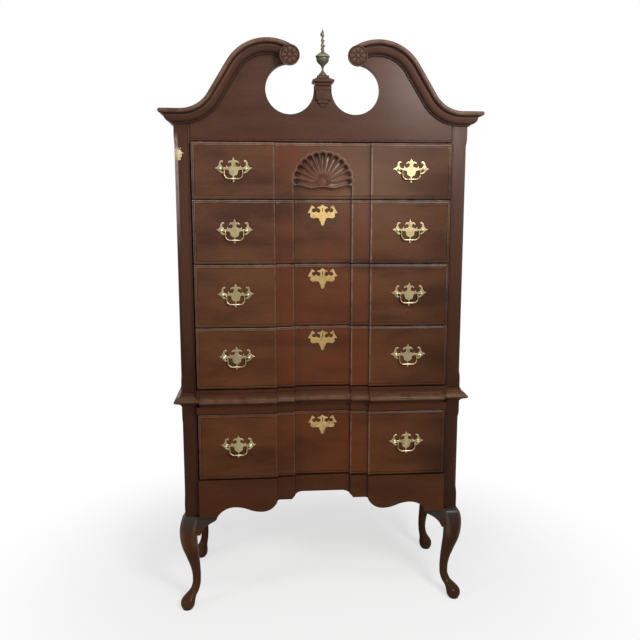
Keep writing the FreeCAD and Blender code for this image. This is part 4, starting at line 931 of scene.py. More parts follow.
@dataclass(frozen=True)
class ShellCarving:
    """The carved shell: thirteen flutes in a half-round fan over a small hub and a bracketed edge."""

    hub_z: float = 1442.5 * MM
    flutes: int = 13
    flute_turn: float = 14.25
    rim: float = 98.5 * MM
    flute_end: float = 92.5 * MM
    spacing: float = 0.95 * MM
    half: float = 112 * MM
    top: float = 1549 * MM
    hub_cuts: float = 26.0

    def edge(self, x: Array) -> Array:
        """Height of the bracketed lower edge: a smooth wave that is level outside the shell.

        Args:
            x: Places across.

        Returns:
            One height per place.
        """
        places = np.array([0, 16, 34, 54, 72, 84, 92, 140]) * MM
        heights = np.array([1428.5, 1427.0, 1424.5, 1429.5, 1434.0, 1433.5, 1432.0, 1432.0]) * MM
        return smooth_through(places, heights, np.minimum(np.abs(x), places[-1] - MM))[:, 0]

    def relief(self, x: Array, z: Array) -> tuple[Array, Array]:
        """Height of the carving over the middle level, and its scuffing, painted highlights and painted
        shadows; inside, all lengths are millimetres.

        Angles from upright are squeezed towards the sides so that the outermost flutes bend along the
        bracketed edge. Across a flute the hollow follows a cosine; along it the hollow deepens outwards
        and ends in a quarter circle. A bead follows the rim, short cuts fan round the hub, and a small
        volute sits on each side of it. A painted highlight runs along the right flutes' inner walls; the
        crests, the rim and the bracketed edge get lighter painted highlights with scuffing, and the
        flutes' outer ends and the hub cuts get painted shadow.

        Args:
            x: Places across.
            z: Places upwards.

        Returns:
            The relief and the scuffing, painted highlight and painted shadow at each place.
        """
        mm_x, up = x / MM, (z - self.hub_z) / MM
        radius = np.hypot(mm_x, up)
        turn = np.degrees(np.arctan2(np.abs(mm_x), up))
        limit = np.interp(radius, [14, 38, 55, 72, 92, 100], [118, 116, 104, 97.5, 97, 96.5])
        squeeze = 1 - self.flutes / 2 * self.flute_turn / limit
        nominal = turn * (1 - squeeze * np.clip(turn / limit, 0, 1) ** 3)
        count = nominal / self.flute_turn
        across = np.clip((count - np.clip(np.round(count), 0, self.flutes // 2)) * 2, -1, 1)
        rim = self.rim / MM - 7.5 * smoothstep(86, 98, turn) - 4.6 * np.abs(across) ** 1.7
        end = rim - (self.rim - self.flute_end) / MM
        left = np.clip((end - radius) / 8, 0, 1)
        deep = np.interp(radius, [24, 34, 50, 68, 82, 92], [0.8, 2.8, 5.4, 7.8, 8.8, 8.0])
        hollow = deep * np.cos(across * np.pi / 2) ** 0.8 * np.sqrt(1 - (1 - left) ** 2)
        crest = np.interp(radius, [20, 40, 80, 96, 98.5], [-2.2, -1.6, -0.7, -0.5, -0.3])
        inside = smoothstep(0.6, -0.6, radius - rim) * smoothstep(3.0, -1.0, turn - limit)
        cuts = np.cos(nominal * self.hub_cuts / 93 * np.pi) ** 2 * smoothstep(11, 14, radius)
        cuts = cuts * smoothstep(28, 25, radius) * (turn < 100)
        hub = np.sqrt(np.clip(1 - (radius / 11) ** 2, 0, 1))
        height = inside * (crest - hollow - 1.3 * cuts + 3.2 * hub)
        curl = np.hypot(np.abs(mm_x) - 13.5, up + 5.5)
        swirl = np.cos(curl * 1.9 - np.arctan2(up + 5.5, np.abs(mm_x) - 13.5))
        height += smoothstep(6.5, 4.8, curl) * (2.4 + 0.7 * swirl)
        height += 0.9 * bump(radius, rim, 1.5) * smoothstep(99, 95, turn)
        lip = (z - self.edge(x)) / MM
        height += 0.8 * bump(lip, 2.2, 1.3) * (np.abs(mm_x) < 100)
        # Painted highlight along the inner walls of the right flutes.
        flute_highlight = bump(across, -0.25, 0.30) * smoothstep(30, 50, radius) * smoothstep(86, 76, radius)
        flute_highlight = flute_highlight * smoothstep(-16, 10, mm_x) * smoothstep(80, 45, turn)
        # Scuffing with a painted highlight on the crests, the rim and the bracketed edge.
        crests = bump(np.abs(across), 1.0, 0.12) * smoothstep(26, 40, radius) * (radius < end + 2)
        light_and_wear = np.maximum(0.30 * crests * inside, 1.3 * flute_highlight * inside)
        light_and_wear = np.maximum(light_and_wear, 0.42 * bump(radius, rim, 1.0) * (turn < 97))
        light_and_wear = np.maximum(light_and_wear, 0.35 * bump(lip, 1.2, 1.2) * (np.abs(mm_x) < 99))
        # Painted shadow at the flutes' deep outer ends; painted shade in the hub cuts.
        flute_end_shadow = inside * smoothstep(1.0, 0.3, np.abs(across)) * smoothstep(66, 84, radius) * (radius < end)
        return height * MM, light_and_wear - 0.95 * flute_end_shadow * (1 - flute_highlight) - 0.48 * inside * cuts


@dataclass
class DrawerFront:
    """A blocked drawer front: thumbnail-moulded lip, quirk, field and the plug behind the lip."""

    number: int
    plan: BlockPlan = field(default_factory=BlockPlan)
    carving: ShellCarving | None = None
    lip_back: float = -161 * MM
    plug_back: float = -147 * MM
    plug_in: float = 9 * MM
    plug_lap: float = 0.5 * MM
    step_reach: float = 13 * MM
    end_strip: float = 13.5 * MM
    least_gap: float = 0.12 * MM

    def lip(self) -> tuple[Array, Array]:
        """The moulded lip's section: a quarter ellipse, then a quirk and the field's edge.

        Returns:
            Distance in from the edge with the drop behind the field, and the scuffing and painted highlight,
            with painted shade and dust in the quirk, from the edge inwards.
        """
        turn = np.radians(np.linspace(0, 90, 9))
        rounded = np.stack([0.9 + 7.1 * (1 - np.cos(turn)), 4.15 - 3.65 * np.sin(turn)], 1)
        side = [(0, 5.4), (0.05, 4.9), (0.35, 4.4)]
        quirk = [(8.5, 0.5), (8.75, 1.2), (9.15, 1.9), (9.7, 1.9), (10.1, 1.2), (10.35, 0.15), (10.8, 0),
                 (12.2, 0)]
        line = np.concatenate([side, rounded, quirk])
        places = [0, 0.3, 1.0, 1.9, 6.6, 7.8, 8.45, 8.8, 9.2, 9.8, 10.2, 10.4, 11, 12.2]
        # Light edge and ridge: scuffing with a painted highlight; dark quirk: painted shade with dust.
        lip_marks = [0.3, 1.0, 0.8, 0.06, 0.06, 0.5, 0.75, -0.5, -0.8, -0.8, -0.4, 0.1, 0.0, 0]
        return line * MM, np.interp(line[:, 0], places, lip_marks)

    def across(self, half: float) -> Array:
        """Places across the front, close together on the steps and over a carving.

        Args:
            half: Half of the front's width.

        Returns:
            Rising places from the left end to the right end.
        """
        inner = self.plan.columns()
        if self.carving:
            dense = np.arange(0, self.carving.half, self.carving.spacing)
            beside = inner[inner > self.plan.recess_half - self.step_reach]
            inner = np.unique(np.round(np.concatenate([dense, beside]), 6))
            inner = inner[np.concatenate([[True], np.diff(inner) > self.least_gap])]
        outer = np.concatenate([inner, [half - self.end_strip, half]])
        return np.concatenate([-outer[::-1], outer[outer > 0]])

    def build(self, shop: Workshop) -> None:
        """Makes the front and stands it in for its CAD node.

        The lip's section goes round the front: each of its points gives a ring of one row near the lower
        edge and one near the upper edge, both of which follow the blocked plan.

        Args:
            shop: Where the piece is dressed and placed.
        """
        low, high = (np.array(corner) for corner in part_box(f"drawer_{self.number}_front"))
        half = float(high[0])
        x = self.across(half)
        rings, light_and_wear_rows = [], []
        top_sunk = self.carving is None
        # Painted highlight: the upper edge and the left end get more than the lower edge and the right end.
        side = np.where(x > 0, 0.75, 1.0)
        side_highlight = np.concatenate([0.4 * side, side[::-1]])
        # Painted highlight on the step noses.
        nose = np.concatenate([self.plan.wear(x, True), self.plan.wear(x, top_sunk)[::-1]])
        for (inset, drop), wear in zip(*self.lip()):
            across = np.clip(x, inset - half, half - inset)
            rows = []
            for z, sunk in ((low[2] + inset, True), (high[2] - inset, top_sunk)):
                y = self.plan.front_y - self.plan.proud(x, sunk) + drop
                rows.append(np.stack([across, y, np.full_like(x, z)], 1))
            rings.append(np.concatenate([rows[0], rows[1][::-1]]))
            light_and_wear_rows.append(np.maximum(wear * side_highlight, nose) if wear >= 0 else wear + 0 * side_highlight)
        back = rings[0].copy()
        back[:, 1] = self.lip_back
        shell = self._closed(np.stack([back, *rings]), np.stack([0 * side_highlight, *light_and_wear_rows]), x)
        plug = box_shape((-half, half), (self.lip_back - self.plug_lap, self.plug_back),
                         (low[2] + self.plug_in, high[2] - self.plug_in))
        shop.place(f"drawer_front_{self.number}", shell.joined(plug), FRONTS, f"drawer_{self.number}",
                   (f"drawer_{self.number}_front",))

    def _closed(self, rings: Array, light_and_wear_rows: Array, x: Array) -> Shape:
        """The lip's rings with the field in front and the flat back closed between their two long rows.

        Args:
            rings: Rings by points by coordinates, from the back to the field's edge.
            light_and_wear_rows: Scuffing, painted highlight and painted shade at each ring point.
            x: Places across the front.

        Returns:
            The closed shape.
        """
        count, points = len(x), rings.shape[1]
        faces = quads(len(rings), points, wrapped=True).tolist()
        column = np.arange(count - 1)
        faces += np.stack([column, points - 1 - column, points - 2 - column, column + 1], 1).tolist()
        start = (len(rings) - 1) * points
        cloud, light_and_wear = rings.reshape(-1, 3), light_and_wear_rows.ravel()
        if self.carving is None:
            faces += np.stack([start + column, start + column + 1, start + points - 2 - column,
                               start + points - 1 - column], 1).tolist()
            return Shape(cloud, faces, light_and_wear).outwards()
        field_points, field_wear = self._carved(rings[-1], x)
        rows = len(field_points)
        first = len(cloud)
        number = np.concatenate([
            start + np.arange(count)[None],
            first + np.arange(rows * count).reshape(rows, count),
            start + points - 1 - np.arange(count)[None],
        ])
        corners = [number[:-1, :-1], number[:-1, 1:], number[1:, 1:], number[1:, :-1]]
        faces += np.stack(corners, 2).reshape(-1, 4).tolist()
        return Shape(np.concatenate([cloud, field_points.reshape(-1, 3)]), faces,
                     np.concatenate([light_and_wear, field_wear.ravel()])).outwards()

    def _carved(self, ring: Array, x: Array) -> tuple[Array, Array]:
        """Rows of the carved field between the lip's lower and upper rows.

        One band of rows follows the bracketed edge, where the ground steps forwards out of the recess.

        Args:
            ring: The field's outer ring.
            x: Places across the front.

        Returns:
            Points with their scuffing, painted highlight and painted shade, rows by columns.
        """
        carving, count = self.carving, len(x)
        across, low = ring[:count, 0], ring[:count, 2]
        edge = carving.edge(x)
        riser = np.array([-9.5, -7.5, -5.6, -4.0, -2.6, -1.4, -0.5, 0.2, 0.9, 1.6]) * MM
        share = np.array([0, 0.03, 0.10, 0.22, 0.38, 0.58, 0.80, 0.96, 1, 1])
        below = [low + (edge + riser[0] - low) * step for step in (0.3, 0.7)]
        first = edge + 2.4 * MM
        above_count = int((carving.top - edge.min()) / carving.spacing)
        above = [first + (carving.top - first) * step for step in np.linspace(0, 1, above_count)]
        z = np.stack([*below, *[edge + step for step in riser], *above])
        risen = np.concatenate([np.zeros(len(below)), share, np.ones(len(above))])[:, None]
        sunk, level = self.plan.proud(x, True), self.plan.proud(x, False)
        relief, light_and_wear = carving.relief(np.broadcast_to(x, z.shape).ravel(), z.ravel())
        relief, light_and_wear = relief.reshape(z.shape), light_and_wear.reshape(z.shape)
        near = (np.abs(x) < carving.half)[None]
        proud = sunk + (level - sunk + relief * near) * risen
        nose = np.where(risen > 0.5, self.plan.wear(x, False), self.plan.wear(x, True))
        points = np.stack([np.broadcast_to(across, z.shape), self.plan.front_y - proud, z], 2)
        return points, np.where(np.abs(light_and_wear) * near > nose, light_and_wear * risen, nose)


def box_shape(across: tuple[float, float], deep: tuple[float, float], tall: tuple[float, float]) -> Shape:
    """A plain block between two places along each axis.

    Args:
        across: Its ends along X.
        deep: Its ends along Y.
        tall: Its ends along Z.

    Returns:
        The closed shape.
    """
    x0, x1 = across
    ring = np.array([(x0, deep[0]), (x1, deep[0]), (x1, deep[1]), (x0, deep[1])])
    rings = np.stack([np.column_stack([ring, np.full(4, z)]) for z in tall])
    return lofted(rings)


# ---------------------------------------------------------------- mouldings

def bulged(rows: tuple[tuple[float, float, float], ...], steps: int) -> Array:
    """A closed line through rows of two coordinates; a third value bulges the next side into an arc.

    The arc over a chord of length c with rise h spans the angle 4 atan(2h / c) on the radius c / (2 sin of
    half of that), for rises of either sign.

    Args:
        rows: Corners in order with each next side's bulge to its right-hand side.
        steps: Pieces in each arc.

    Returns:
        The points of the line.
    """
    points = []
    for (u0, v0, rise), (u1, v1, _) in zip(rows, rows[1:] + rows[:1]):
        if not rise:
            points.append(np.array([(u0, v0)], float))
            continue
        chord = np.array([u1 - u0, v1 - v0])
        length = float(np.hypot(*chord))
        along, out = chord / length, np.array([chord[1], -chord[0]]) / length
        half = 2 * math.atan(2 * rise / length)
        radius = length / (2 * math.sin(half))
        turn = np.linspace(-half, half, steps + 1)[:-1, None]
        middle = np.array([u0 + u1, v0 + v1]) / 2 - out * radius * math.cos(half)
        points.append(middle + radius * (np.sin(turn) * along + np.cos(turn) * out))
    return np.concatenate(points)


@dataclass(frozen=True)
class Pediment:
    """The cornice section carried up both swan necks and back along the sides."""

    case_half: float = 465 * MM
    front_y: float = -177 * MM
    back_y: float = 223 * MM
    top: float = 1662.4 * MM
    out: float = 42 * MM
    tall: float = 43 * MM
    peak: tuple[float, float] = (171 * MM, 1872.4 * MM)
    sweep_start: float = 440 * MM
    sweep_radius: float = 100 * MM
    sweep_turn: float = 58.0
    rosette: tuple[float, float] = (104.6 * MM, 1822.0 * MM)
    rosette_core: float = 23.4 * MM
    flange: float = 31.4 * MM
    flange_back: float = 32.7 * MM
    arc_steps: int = 9
    sweep_steps: int = 22
    peak_steps: int = 34
    crease: float = 28.0

    def section(self) -> Array:
        """Forward reach and depth: thick roll, groove, fillet, ovolo and small bead.

        Returns:
            The section's closed line.
        """
        shares = ((0, 0, 0), (0.79, 0, 0.21), (0.79, 0.31, 0), (0.76, 0.35, 0), (0.66, 0.38, 0),
                  (0.62, 0.45, 0.125), (0.19, 0.87, 0), (0.18, 0.91, 0), (0.14, 0.91, 0.03), (0.07, 1, 0),
                  (0, 1, 0))
        rows = tuple((self.out * reach, self.tall * depth, self.out * rise) for reach, depth, rise in shares)
        return bulged(rows, self.arc_steps)

    def wear(self) -> Array:
        """Scuffing and a painted highlight along the roll and the fillet, and painted shade with old polish
        in the groove and over the board.

        Returns:
            The value at each point of the section.
        """
        reach, depth = (self.section() / (self.out, self.tall)).T
        # Lighter roll and fillet: painted highlight with scuffing; darker groove, bead and board edge:
        # painted shade with old polish.
        light_and_wear = 0.5 * bump(reach, 0.98, 0.05) + 0.4 * bump(depth, 0.44, 0.03) * (reach > 0.6)
        light_and_wear -= 0.95 * bump(depth, 0.35, 0.035) * (reach > 0.5) * (reach < 0.785)
        return light_and_wear - 0.9 * bump(depth, 0.9, 0.03) * (reach < 0.3) - 0.9 * (depth > 0.985)

    def neck(self) -> Shape:
        """The right swan neck: level from the mitre, swept up, straight, then over the peak to the rosette.

        The arc over the peak is as large as it takes to touch the straight part. Each line of the section
        stops where it meets the rosette's round block. The law of cosines, in the triangle of the arc's
        centre, the rosette's centre and that end, gives the angle.

        Returns:
            The closed shape.
        """
        reach, depth = self.section().T
        turn = math.radians(self.sweep_turn)
        low_centre = (self.sweep_start, self.top + self.sweep_radius)
        end_x = self.sweep_start - self.sweep_radius * math.sin(turn)
        end_z = low_centre[1] - self.sweep_radius * math.cos(turn)
        rise = end_z - self.peak[1] + math.tan(turn) * (end_x - self.peak[0])
        radius = rise / (1 / math.cos(turn) - 1)
        centre_z = self.peak[1] - radius
        stations = []
        start = self.case_half + reach
        for share in (0.0, 0.04, 0.5, 0.92):
            stations.append((start + (self.sweep_start - start) * share, self.top - depth))
        for angle in np.linspace(0, turn, self.sweep_steps):
            stations.append((low_centre[0] - (self.sweep_radius + depth) * math.sin(angle),
                             low_centre[1] - (self.sweep_radius + depth) * math.cos(angle)))
        away = math.hypot(self.peak[0] - self.rosette[0], self.rosette[1] - centre_z)
        over = math.atan2(self.peak[0] - self.rosette[0], self.rosette[1] - centre_z)
        arm = radius - depth
        reached = np.where(reach > self.flange_back, self.flange, self.rosette_core)
        gap = (arm**2 + away**2 - reached**2) / (2 * arm * away)
        last = over - np.arccos(np.clip(gap, -1, 1))
        for share in np.linspace(0, 1, self.peak_steps):
            angle = turn + (-last - turn) * share
            stations.append((self.peak[0] + arm * np.sin(angle), centre_z + arm * np.cos(angle)))
        rings = np.stack([np.stack([x, self.front_y - reach, z + 0 * x], 1) for x, z in stations])
        return lofted(rings, self.wear()[None])

    def side(self) -> Shape:
        """The right side cornice from the mitre to the back.

        Returns:
            The closed shape.
        """
        reach, depth = self.section().T
        front = self.front_y - reach
        ends = [front, front + 2 * MM, np.full_like(reach, 0.0), np.full_like(reach, self.back_y)]
        rings = np.stack([np.stack([self.case_half + reach, y, self.top - depth], 1) for y in ends])
        return lofted(rings, self.wear()[None])

    def build(self, shop: Workshop) -> None:
        """Places both necks and both side cornices.

        Args:
            shop: Where the pieces are dressed and placed.
        """
        neck, side = self.neck(), self.side()
        for name, shape in (("right", neck), ("left", neck.mirrored())):
            shop.place(f"neck_moulding_{name}", shape, CASE, "case", (f"swan_neck_{name}",),
                       crease=self.crease)
        shop.place("side_cornices", side.joined(side.mirrored()), CASE, "case", ("cornice_returns",),
                   Grain.DEEP, self.crease)


@dataclass(frozen=True)
class WaistMoulding:
    """The moulding round the waist: its nose follows the blocks in front and runs straight at the sides."""

    plan: BlockPlan = BlockPlan()
    case_half: float = 465 * MM
    back_y: float = 223 * MM
    deck_low: float = 717 * MM
    deck_tall: float = 28 * MM
    out: float = 24 * MM
    tall: float = 45 * MM
    lap: float = 4 * MM
    opening_half: float = 415 * MM
    step_in: float = 19 * MM
    straight: float = 3 * MM
    rail_deep: float = 60 * MM
    rail_wide: float = 38 * MM
    rail_lap: float = 1 * MM
    front_gap: float = 2 * MM
    rear_gap: float = 0.5 * MM
    crease: float = 28.0

    def section(self) -> Array:
        """The moulding's section: hollow, nose, fillets and ogee, then back inside.

        Returns:
            Reach and height from the underside.
        """
        places = np.array([(0.04, 0), (0.08, 0.05), (0.20, 0.13), (0.44, 0.20), (0.72, 0.255), (0.93, 0.32),
                           (1, 0.39), (0.985, 0.45), (0.90, 0.50), (0.84, 0.515), (0.80, 0.565), (0.70, 0.63),
                           (0.54, 0.69), (0.36, 0.735), (0.24, 0.785), (0.18, 0.80), (0.15, 0.90), (0.11, 1)])
        outer = softened_corners(places * (self.out, self.tall), 1.6 * MM, 4)
        return np.concatenate([outer, [(-self.lap, self.tall), (-self.lap, 0)]])

    def front_line(self) -> tuple[Array, Array]:
        """The moulding's own line over the blocks: its last step is a quarter-round nose and hollow.

        Returns:
            Places across and the forward stand there, from the centre to the corner.
        """
        block = self.plan.block
        step, fall = self.opening_half - self.step_in, block / 2
        inner = np.concatenate([[0.0], self.plan.columns(), [step - self.plan.lead]])
        turn = np.radians(np.linspace(90, 0, 7))
        back = turn[::-1]
        nose = np.stack([step + fall * np.cos(turn), fall + fall * np.sin(turn)], 1)
        hollow = np.stack([step + block - fall * np.cos(back), fall - fall * np.sin(back)], 1)
        x = np.concatenate([inner, nose[:, 0], hollow[1:, 0], [step + block + self.front_gap]])
        proud = np.concatenate([self.plan.proud(inner), nose[:, 1], hollow[1:, 1], [0.0]])
        return x, proud

    def rails(self) -> list[Shape]:
        """The flat rails inside the moulding.

        Returns:
            The rear, front, left and right rail.
        """
        tall = (self.deck_low, self.deck_low + self.deck_tall)
        front_y = self.plan.front_y
        half, inner = self.case_half - self.lap / 2, self.case_half - self.rail_wide
        between = (front_y + self.rail_deep - self.rail_lap, self.back_y - self.rail_deep + self.rail_lap)
        return [
            box_shape((-half, half), (self.back_y - self.rail_deep, self.back_y - self.rear_gap), tall),
            box_shape((-half, half), (front_y + self.front_gap, front_y + self.rail_deep), tall),
            box_shape((-half, -inner), between, tall),
            box_shape((inner, half), between, tall),
        ]

    def build(self, shop: Workshop) -> None:
        """Sweeps the section round the front and sides.

        Args:
            shop: Where the piece is dressed and placed.
        """
        reach, height = self.section().T
        x, proud = self.front_line()
        z, side_x, front_y = self.deck_low + height, self.case_half + reach, self.plan.front_y
        rings = []
        for y in (self.back_y, 0.0, front_y + self.straight):
            rings.append(np.stack([side_x, np.full_like(reach, y), z], 1))
        rings.append(np.stack([side_x, front_y - reach, z], 1))
        for across, stand in zip(x[::-1], proud[::-1]):
            lead = np.where(reach < 0, -self.lap, reach) + np.where(reach < 0, min(stand, 0.0), stand)
            rings.append(np.stack([np.full_like(reach, across), front_y - lead, z], 1))
        right = np.stack(rings)
        left = right[::-1][1:] * (-1, 1, 1)
        share = height / self.tall
        # Painted highlight: a lighter band across the moulding's ovolo.
        light_and_wear = np.where(reach > 0, 0.55 * smoothstep(0.40, 0.50, share) * smoothstep(0.86, 0.66, share), 0.0)
        light_and_wear += 0.35 * bump(share, 0.42, 0.05) * (reach > 0.5 * self.out)
        band = lofted(np.concatenate([right, left]), light_and_wear[None])
        shop.place("waist_band", joined([band, *self.rails()]), WAIST, "case", ("waist_moulding",),
                   crease=self.crease)


# ---------------------------------------------------------------- pediment ornaments

@dataclass(frozen=True)
class Rosettes:
    """Two turned and carved rosettes that close the swan necks."""

    x: float = 104.6 * MM
    z: float = 1822.0 * MM
    seat_y: float = -177 * MM
    radius: float = 31 * MM
    proud: float = 46 * MM
    core: float = 23 * MM
    flange: float = 12.9 * MM
    petals: int = 8
    sides: int = 120
    crease: float = 40.0

    def build(self, shop: Workshop) -> None:
        """Carves one flower on a turned block and sets it at both ends of the necks.

        Args:
            shop: Where the piece is dressed and placed.
        """
        flower = self.flower()
        right = flower.moved(self.x, self.seat_y, self.z)
        left = flower.mirrored().moved(-self.x, self.seat_y, self.z)
        shop.place("rosette_flowers", right.joined(left), CASE, "case", ("rosettes",), crease=self.crease)

    def flower(self) -> Shape:
        """A turning along -Y whose face carries petals.

        The face's height is a rim roll, a quirk, petals whose crowns follow the angle's cosine to the
        power 0.7, and a half-round button in the middle.

        Returns:
            The shape with its back at the origin.
        """
        r, tall, core = self.radius / MM, self.proud / MM, self.core / MM
        side = np.array([(0.01, 0), (core, 0), (core, tall - self.flange / MM), (r - 1.5, tall - 12.9),
                         (r - 0.4, tall - 12.5), (r, tall - 11.4), (r, tall - 4.2)])
        roll = r - 3.4 * (1 - np.cos(np.radians(np.linspace(10, 180, 12)))) / 2
        dome = 7.4 * np.cos(np.radians(np.linspace(0, 88, 9)))
        turn = np.linspace(0, 2 * np.pi, self.sides, endpoint=False)
        radius = np.concatenate([side[:, 0], roll, np.linspace(r - 4.0, 9.5, 18), dome])[:, None] + 0 * turn
        petal = np.abs(np.cos(turn * self.petals / 2))[None] ** 0.7
        span = np.clip((radius - 8.5) / (r - 4.5 - 8.5), 0, 1)
        crown = np.sin(np.pi * span**0.8) ** 0.8
        rim = 2.6 * np.sqrt(np.clip(1 - ((radius - (r - 1.9)) / 1.95) ** 2, 0, 1))
        leaf = 4.6 * crown * (0.35 + 0.65 * petal) - 1.2 * (1 - petal) * span
        button = 4.6 * np.sqrt(np.clip(1 - (radius / 7.5) ** 2, 0, 1))
        bowl = np.where(radius < 8.4, button, np.where(radius > r - 4, rim, leaf))
        height = np.minimum(tall - 6.2 + bowl, tall)
        rows = len(side)
        height[:rows] = side[:, 1:2]
        # Lighter rim and petal crowns, darker groove and gaps between petals: painted highlight and painted
        # shade.
        light_and_wear = np.where(radius > r - 3, 0.35, 0.12 * crown * (petal > 0.75))
        groove = np.abs(radius - (r - 4.2)) < 0.8
        light_and_wear = np.where(radius < 5, 0.2, light_and_wear) - 0.7 * groove - 0.5 * (petal < 0.3) * crown
        light_and_wear[:rows - 1] = 0
        points = np.stack([radius * np.cos(turn), -height, radius * np.sin(turn)], 2) * MM
        return lofted(points, light_and_wear)


@dataclass(frozen=True)
class Finial:
    """The turned urn and the twisted flame above it."""

    y: float = -170 * MM
    urn_low: float = 1769 * MM
    urn_tall: float = 75 * MM
    urn_radius: float = 22.8 * MM
    flame_tall: float = 65 * MM
    flame_radius: float = 8.3 * MM
    twist: float = 540.0
    lobes: int = 3
    lobe_deep: float = 0.20
    oval: float = 0.85
    sway: float = 1.1 * MM
    urn_crease: float = 34.0
    flame_crease: float = 60.0

    def build(self, shop: Workshop) -> None:
        """Places the urn and the flame.

        Args:
            shop: Where the pieces are dressed and placed.
        """
        shop.place("urn_turning", self.urn(), FINIAL, "case", ("finial_urn",), Grain.UPRIGHT,
                   self.urn_crease)
        shop.place("flame_carving", self.flame(), FINIAL, "case", ("finial_flame",), Grain.UPRIGHT,
                   self.flame_crease)

    def urn(self) -> Shape:
        """The urn: its outline with softened corners, swept round.

        Returns:
            The closed shape.
        """
        shares = np.array([(0, 0), (0.58, 0), (0.58, 0.045), (0.53, 0.073), (0.385, 0.125), (0.23, 0.18),
                           (0.145, 0.227), (0.12, 0.273), (0.155, 0.327), (0.215, 0.38), (0.33, 0.433),
                           (0.545, 0.493), (0.725, 0.547), (0.84, 0.607), (0.885, 0.667), (0.877, 0.727),
                           (1, 0.76), (1, 0.793), (0.89, 0.827), (0.77, 0.86), (0.55, 0.907), (0.31, 0.953),
                           (0.2, 1), (0, 1)])
        line = softened_corners(shares * (self.urn_radius, self.urn_tall), 2.2 * MM, 4)
        # Painted highlight round the widest band, painted shade under the collar.
        light_and_wear = np.where(line[:, 0] > 0.95 * self.urn_radius, 0.8, 0.0)
        light_and_wear -= 0.8 * bump(line[:, 1], 0.727 * self.urn_tall, 1.2 * MM)
        return turned(line, 72, light_and_wear).moved(0, self.y, self.urn_low)

    def flame(self) -> Shape:
        """The flame: a lobed oval section that turns as it climbs through four knots to a thin tip.

        Returns:
            The closed shape.
        """
        knots = np.array([(0, 0.52), (0.10, 0.80), (0.15, 0.58), (0.22, 1.0), (0.35, 0.50), (0.48, 0.82),
                          (0.57, 0.40), (0.74, 0.84), (0.90, 0.42), (1.0, 0.05)])
        share = np.linspace(0, 1, 90)
        size = self.flame_radius * smooth_through(knots[:, 0], knots[:, 1], share)
        turn = np.linspace(0, 2 * np.pi, 42, endpoint=False)
        share = share[:, None]
        bent = turn + math.radians(self.twist) * share
        lobe = np.cos(self.lobes * turn)[None]
        reach = size * (1 - self.lobe_deep + self.lobe_deep * lobe)
        x = reach * np.cos(bent) + self.sway * np.sin(2 * np.pi * share) * share
        y = self.oval * reach * np.sin(bent)
        z = share * self.flame_tall + 0 * turn
        # Painted highlight on the lobes' crests, painted shade in their troughs.
        light_and_wear = 0.7 * (lobe > 0.55) + 0 * z - 0.4 * (lobe < -0.7)
        return lofted(np.stack([x, y, z], 2), light_and_wear).moved(0, self.y, self.urn_low + self.urn_tall)


# ---------------------------------------------------------------- brasses

def inset(outline: Array, by: float) -> Array:
    """A closed outline moved inwards along the mean normal of each point's two sides.

    Args:
        outline: Points by two coordinates, in order round the outline.
        by: How far; a negative length moves it outwards.

    Returns:
        The moved points.
    """
    following = np.roll(outline, -1, 0)
    sides = following - outline
    sides /= np.linalg.norm(sides, axis=1, keepdims=True)
    along = np.roll(sides, 1, 0) + sides
    along /= np.maximum(np.linalg.norm(along, axis=1, keepdims=True), 1e-6)
    area = float(np.sum(outline[:, 0] * following[:, 1] - following[:, 0] * outline[:, 1]))
    return outline + math.copysign(by, area) * np.stack([-along[:, 1], along[:, 0]], 1)


@dataclass(frozen=True)
class CastPlate:
    """A thin casting cut to a symmetric outline, its front edges filed, with or without a hole.

    Its sizes are in millimetres.
    """

    half: tuple[tuple[float, float], ...]
    thick: float
    filed: float
    soft: float
    hole: tuple[tuple[float, float], ...] = ()
    hole_soft: float = 0.8

    def outlines(self) -> list[Array]:
        """The outline completed over its mirror line, and the hole.

        Returns:
            The outline and then the hole, if there is one, in millimetres.
        """
        rows = np.array(self.half, float)
        whole = np.concatenate([rows, rows[::-1][1:-1] * (-1, 1)])
        lines = [softened_corners(whole[::-1], self.soft, 5, closed=True)]
        if self.hole:
            lines.append(softened_corners(np.array(self.hole, float), self.hole_soft, 3, closed=True))
        return lines

    def shape(self) -> Shape:
        """The plate with its back on y = 0, in metres.

        Each outline is stepped in towards the front; both faces are cut into triangles between the
        outline and the hole.

        Returns:
            The closed shape.
        """
        thick, filed = self.thick, self.filed
        levels = ((0.0, 0.0), (0.0, thick - filed), (0.4 * filed, thick - 0.3 * filed), (filed, thick))
        points, wear, faces, ends, start = [], [], [], ([], []), 0
        for number, line in enumerate(self.outlines()):
            count, way = len(line), -1 if number else 1
            rings = np.stack([np.insert(inset(line, way * by), 1, -y, axis=1) for by, y in levels])
            faces += (quads(len(levels), count, wrapped=True) + start).tolist()
            for end, ring in zip(ends, (0, len(levels) - 1)):
                end.append((rings[ring][:, [0, 2]], start + ring * count + np.arange(count)))
            points.append(rings.reshape(-1, 3) * MM)
            # Filed edges: polish from handling with a painted highlight.
            wear.append(np.repeat([0, 0.7, 1.0, 0.1], count))
            start += len(levels) * count
        for end, turn in zip(ends, (-1, 1)):
            flat = np.concatenate([places for places, _ in end])
            number = np.concatenate([numbers for _, numbers in end])
            loops = [[Vector((*place, 0)) for place in places] for places, _ in end]
            cut = np.array(tessellate_polygon(loops))
            corner = flat[cut]
            first, second = corner[:, 1] - corner[:, 0], corner[:, 2] - corner[:, 0]
            back = (first[:, 0] * second[:, 1] - first[:, 1] * second[:, 0]) * turn < 0
            cut = np.where(back[:, None], cut[:, ::-1], cut)
            faces += number[cut].tolist()
        return Shape(np.concatenate(points), faces, np.concatenate(wear)).outwards()


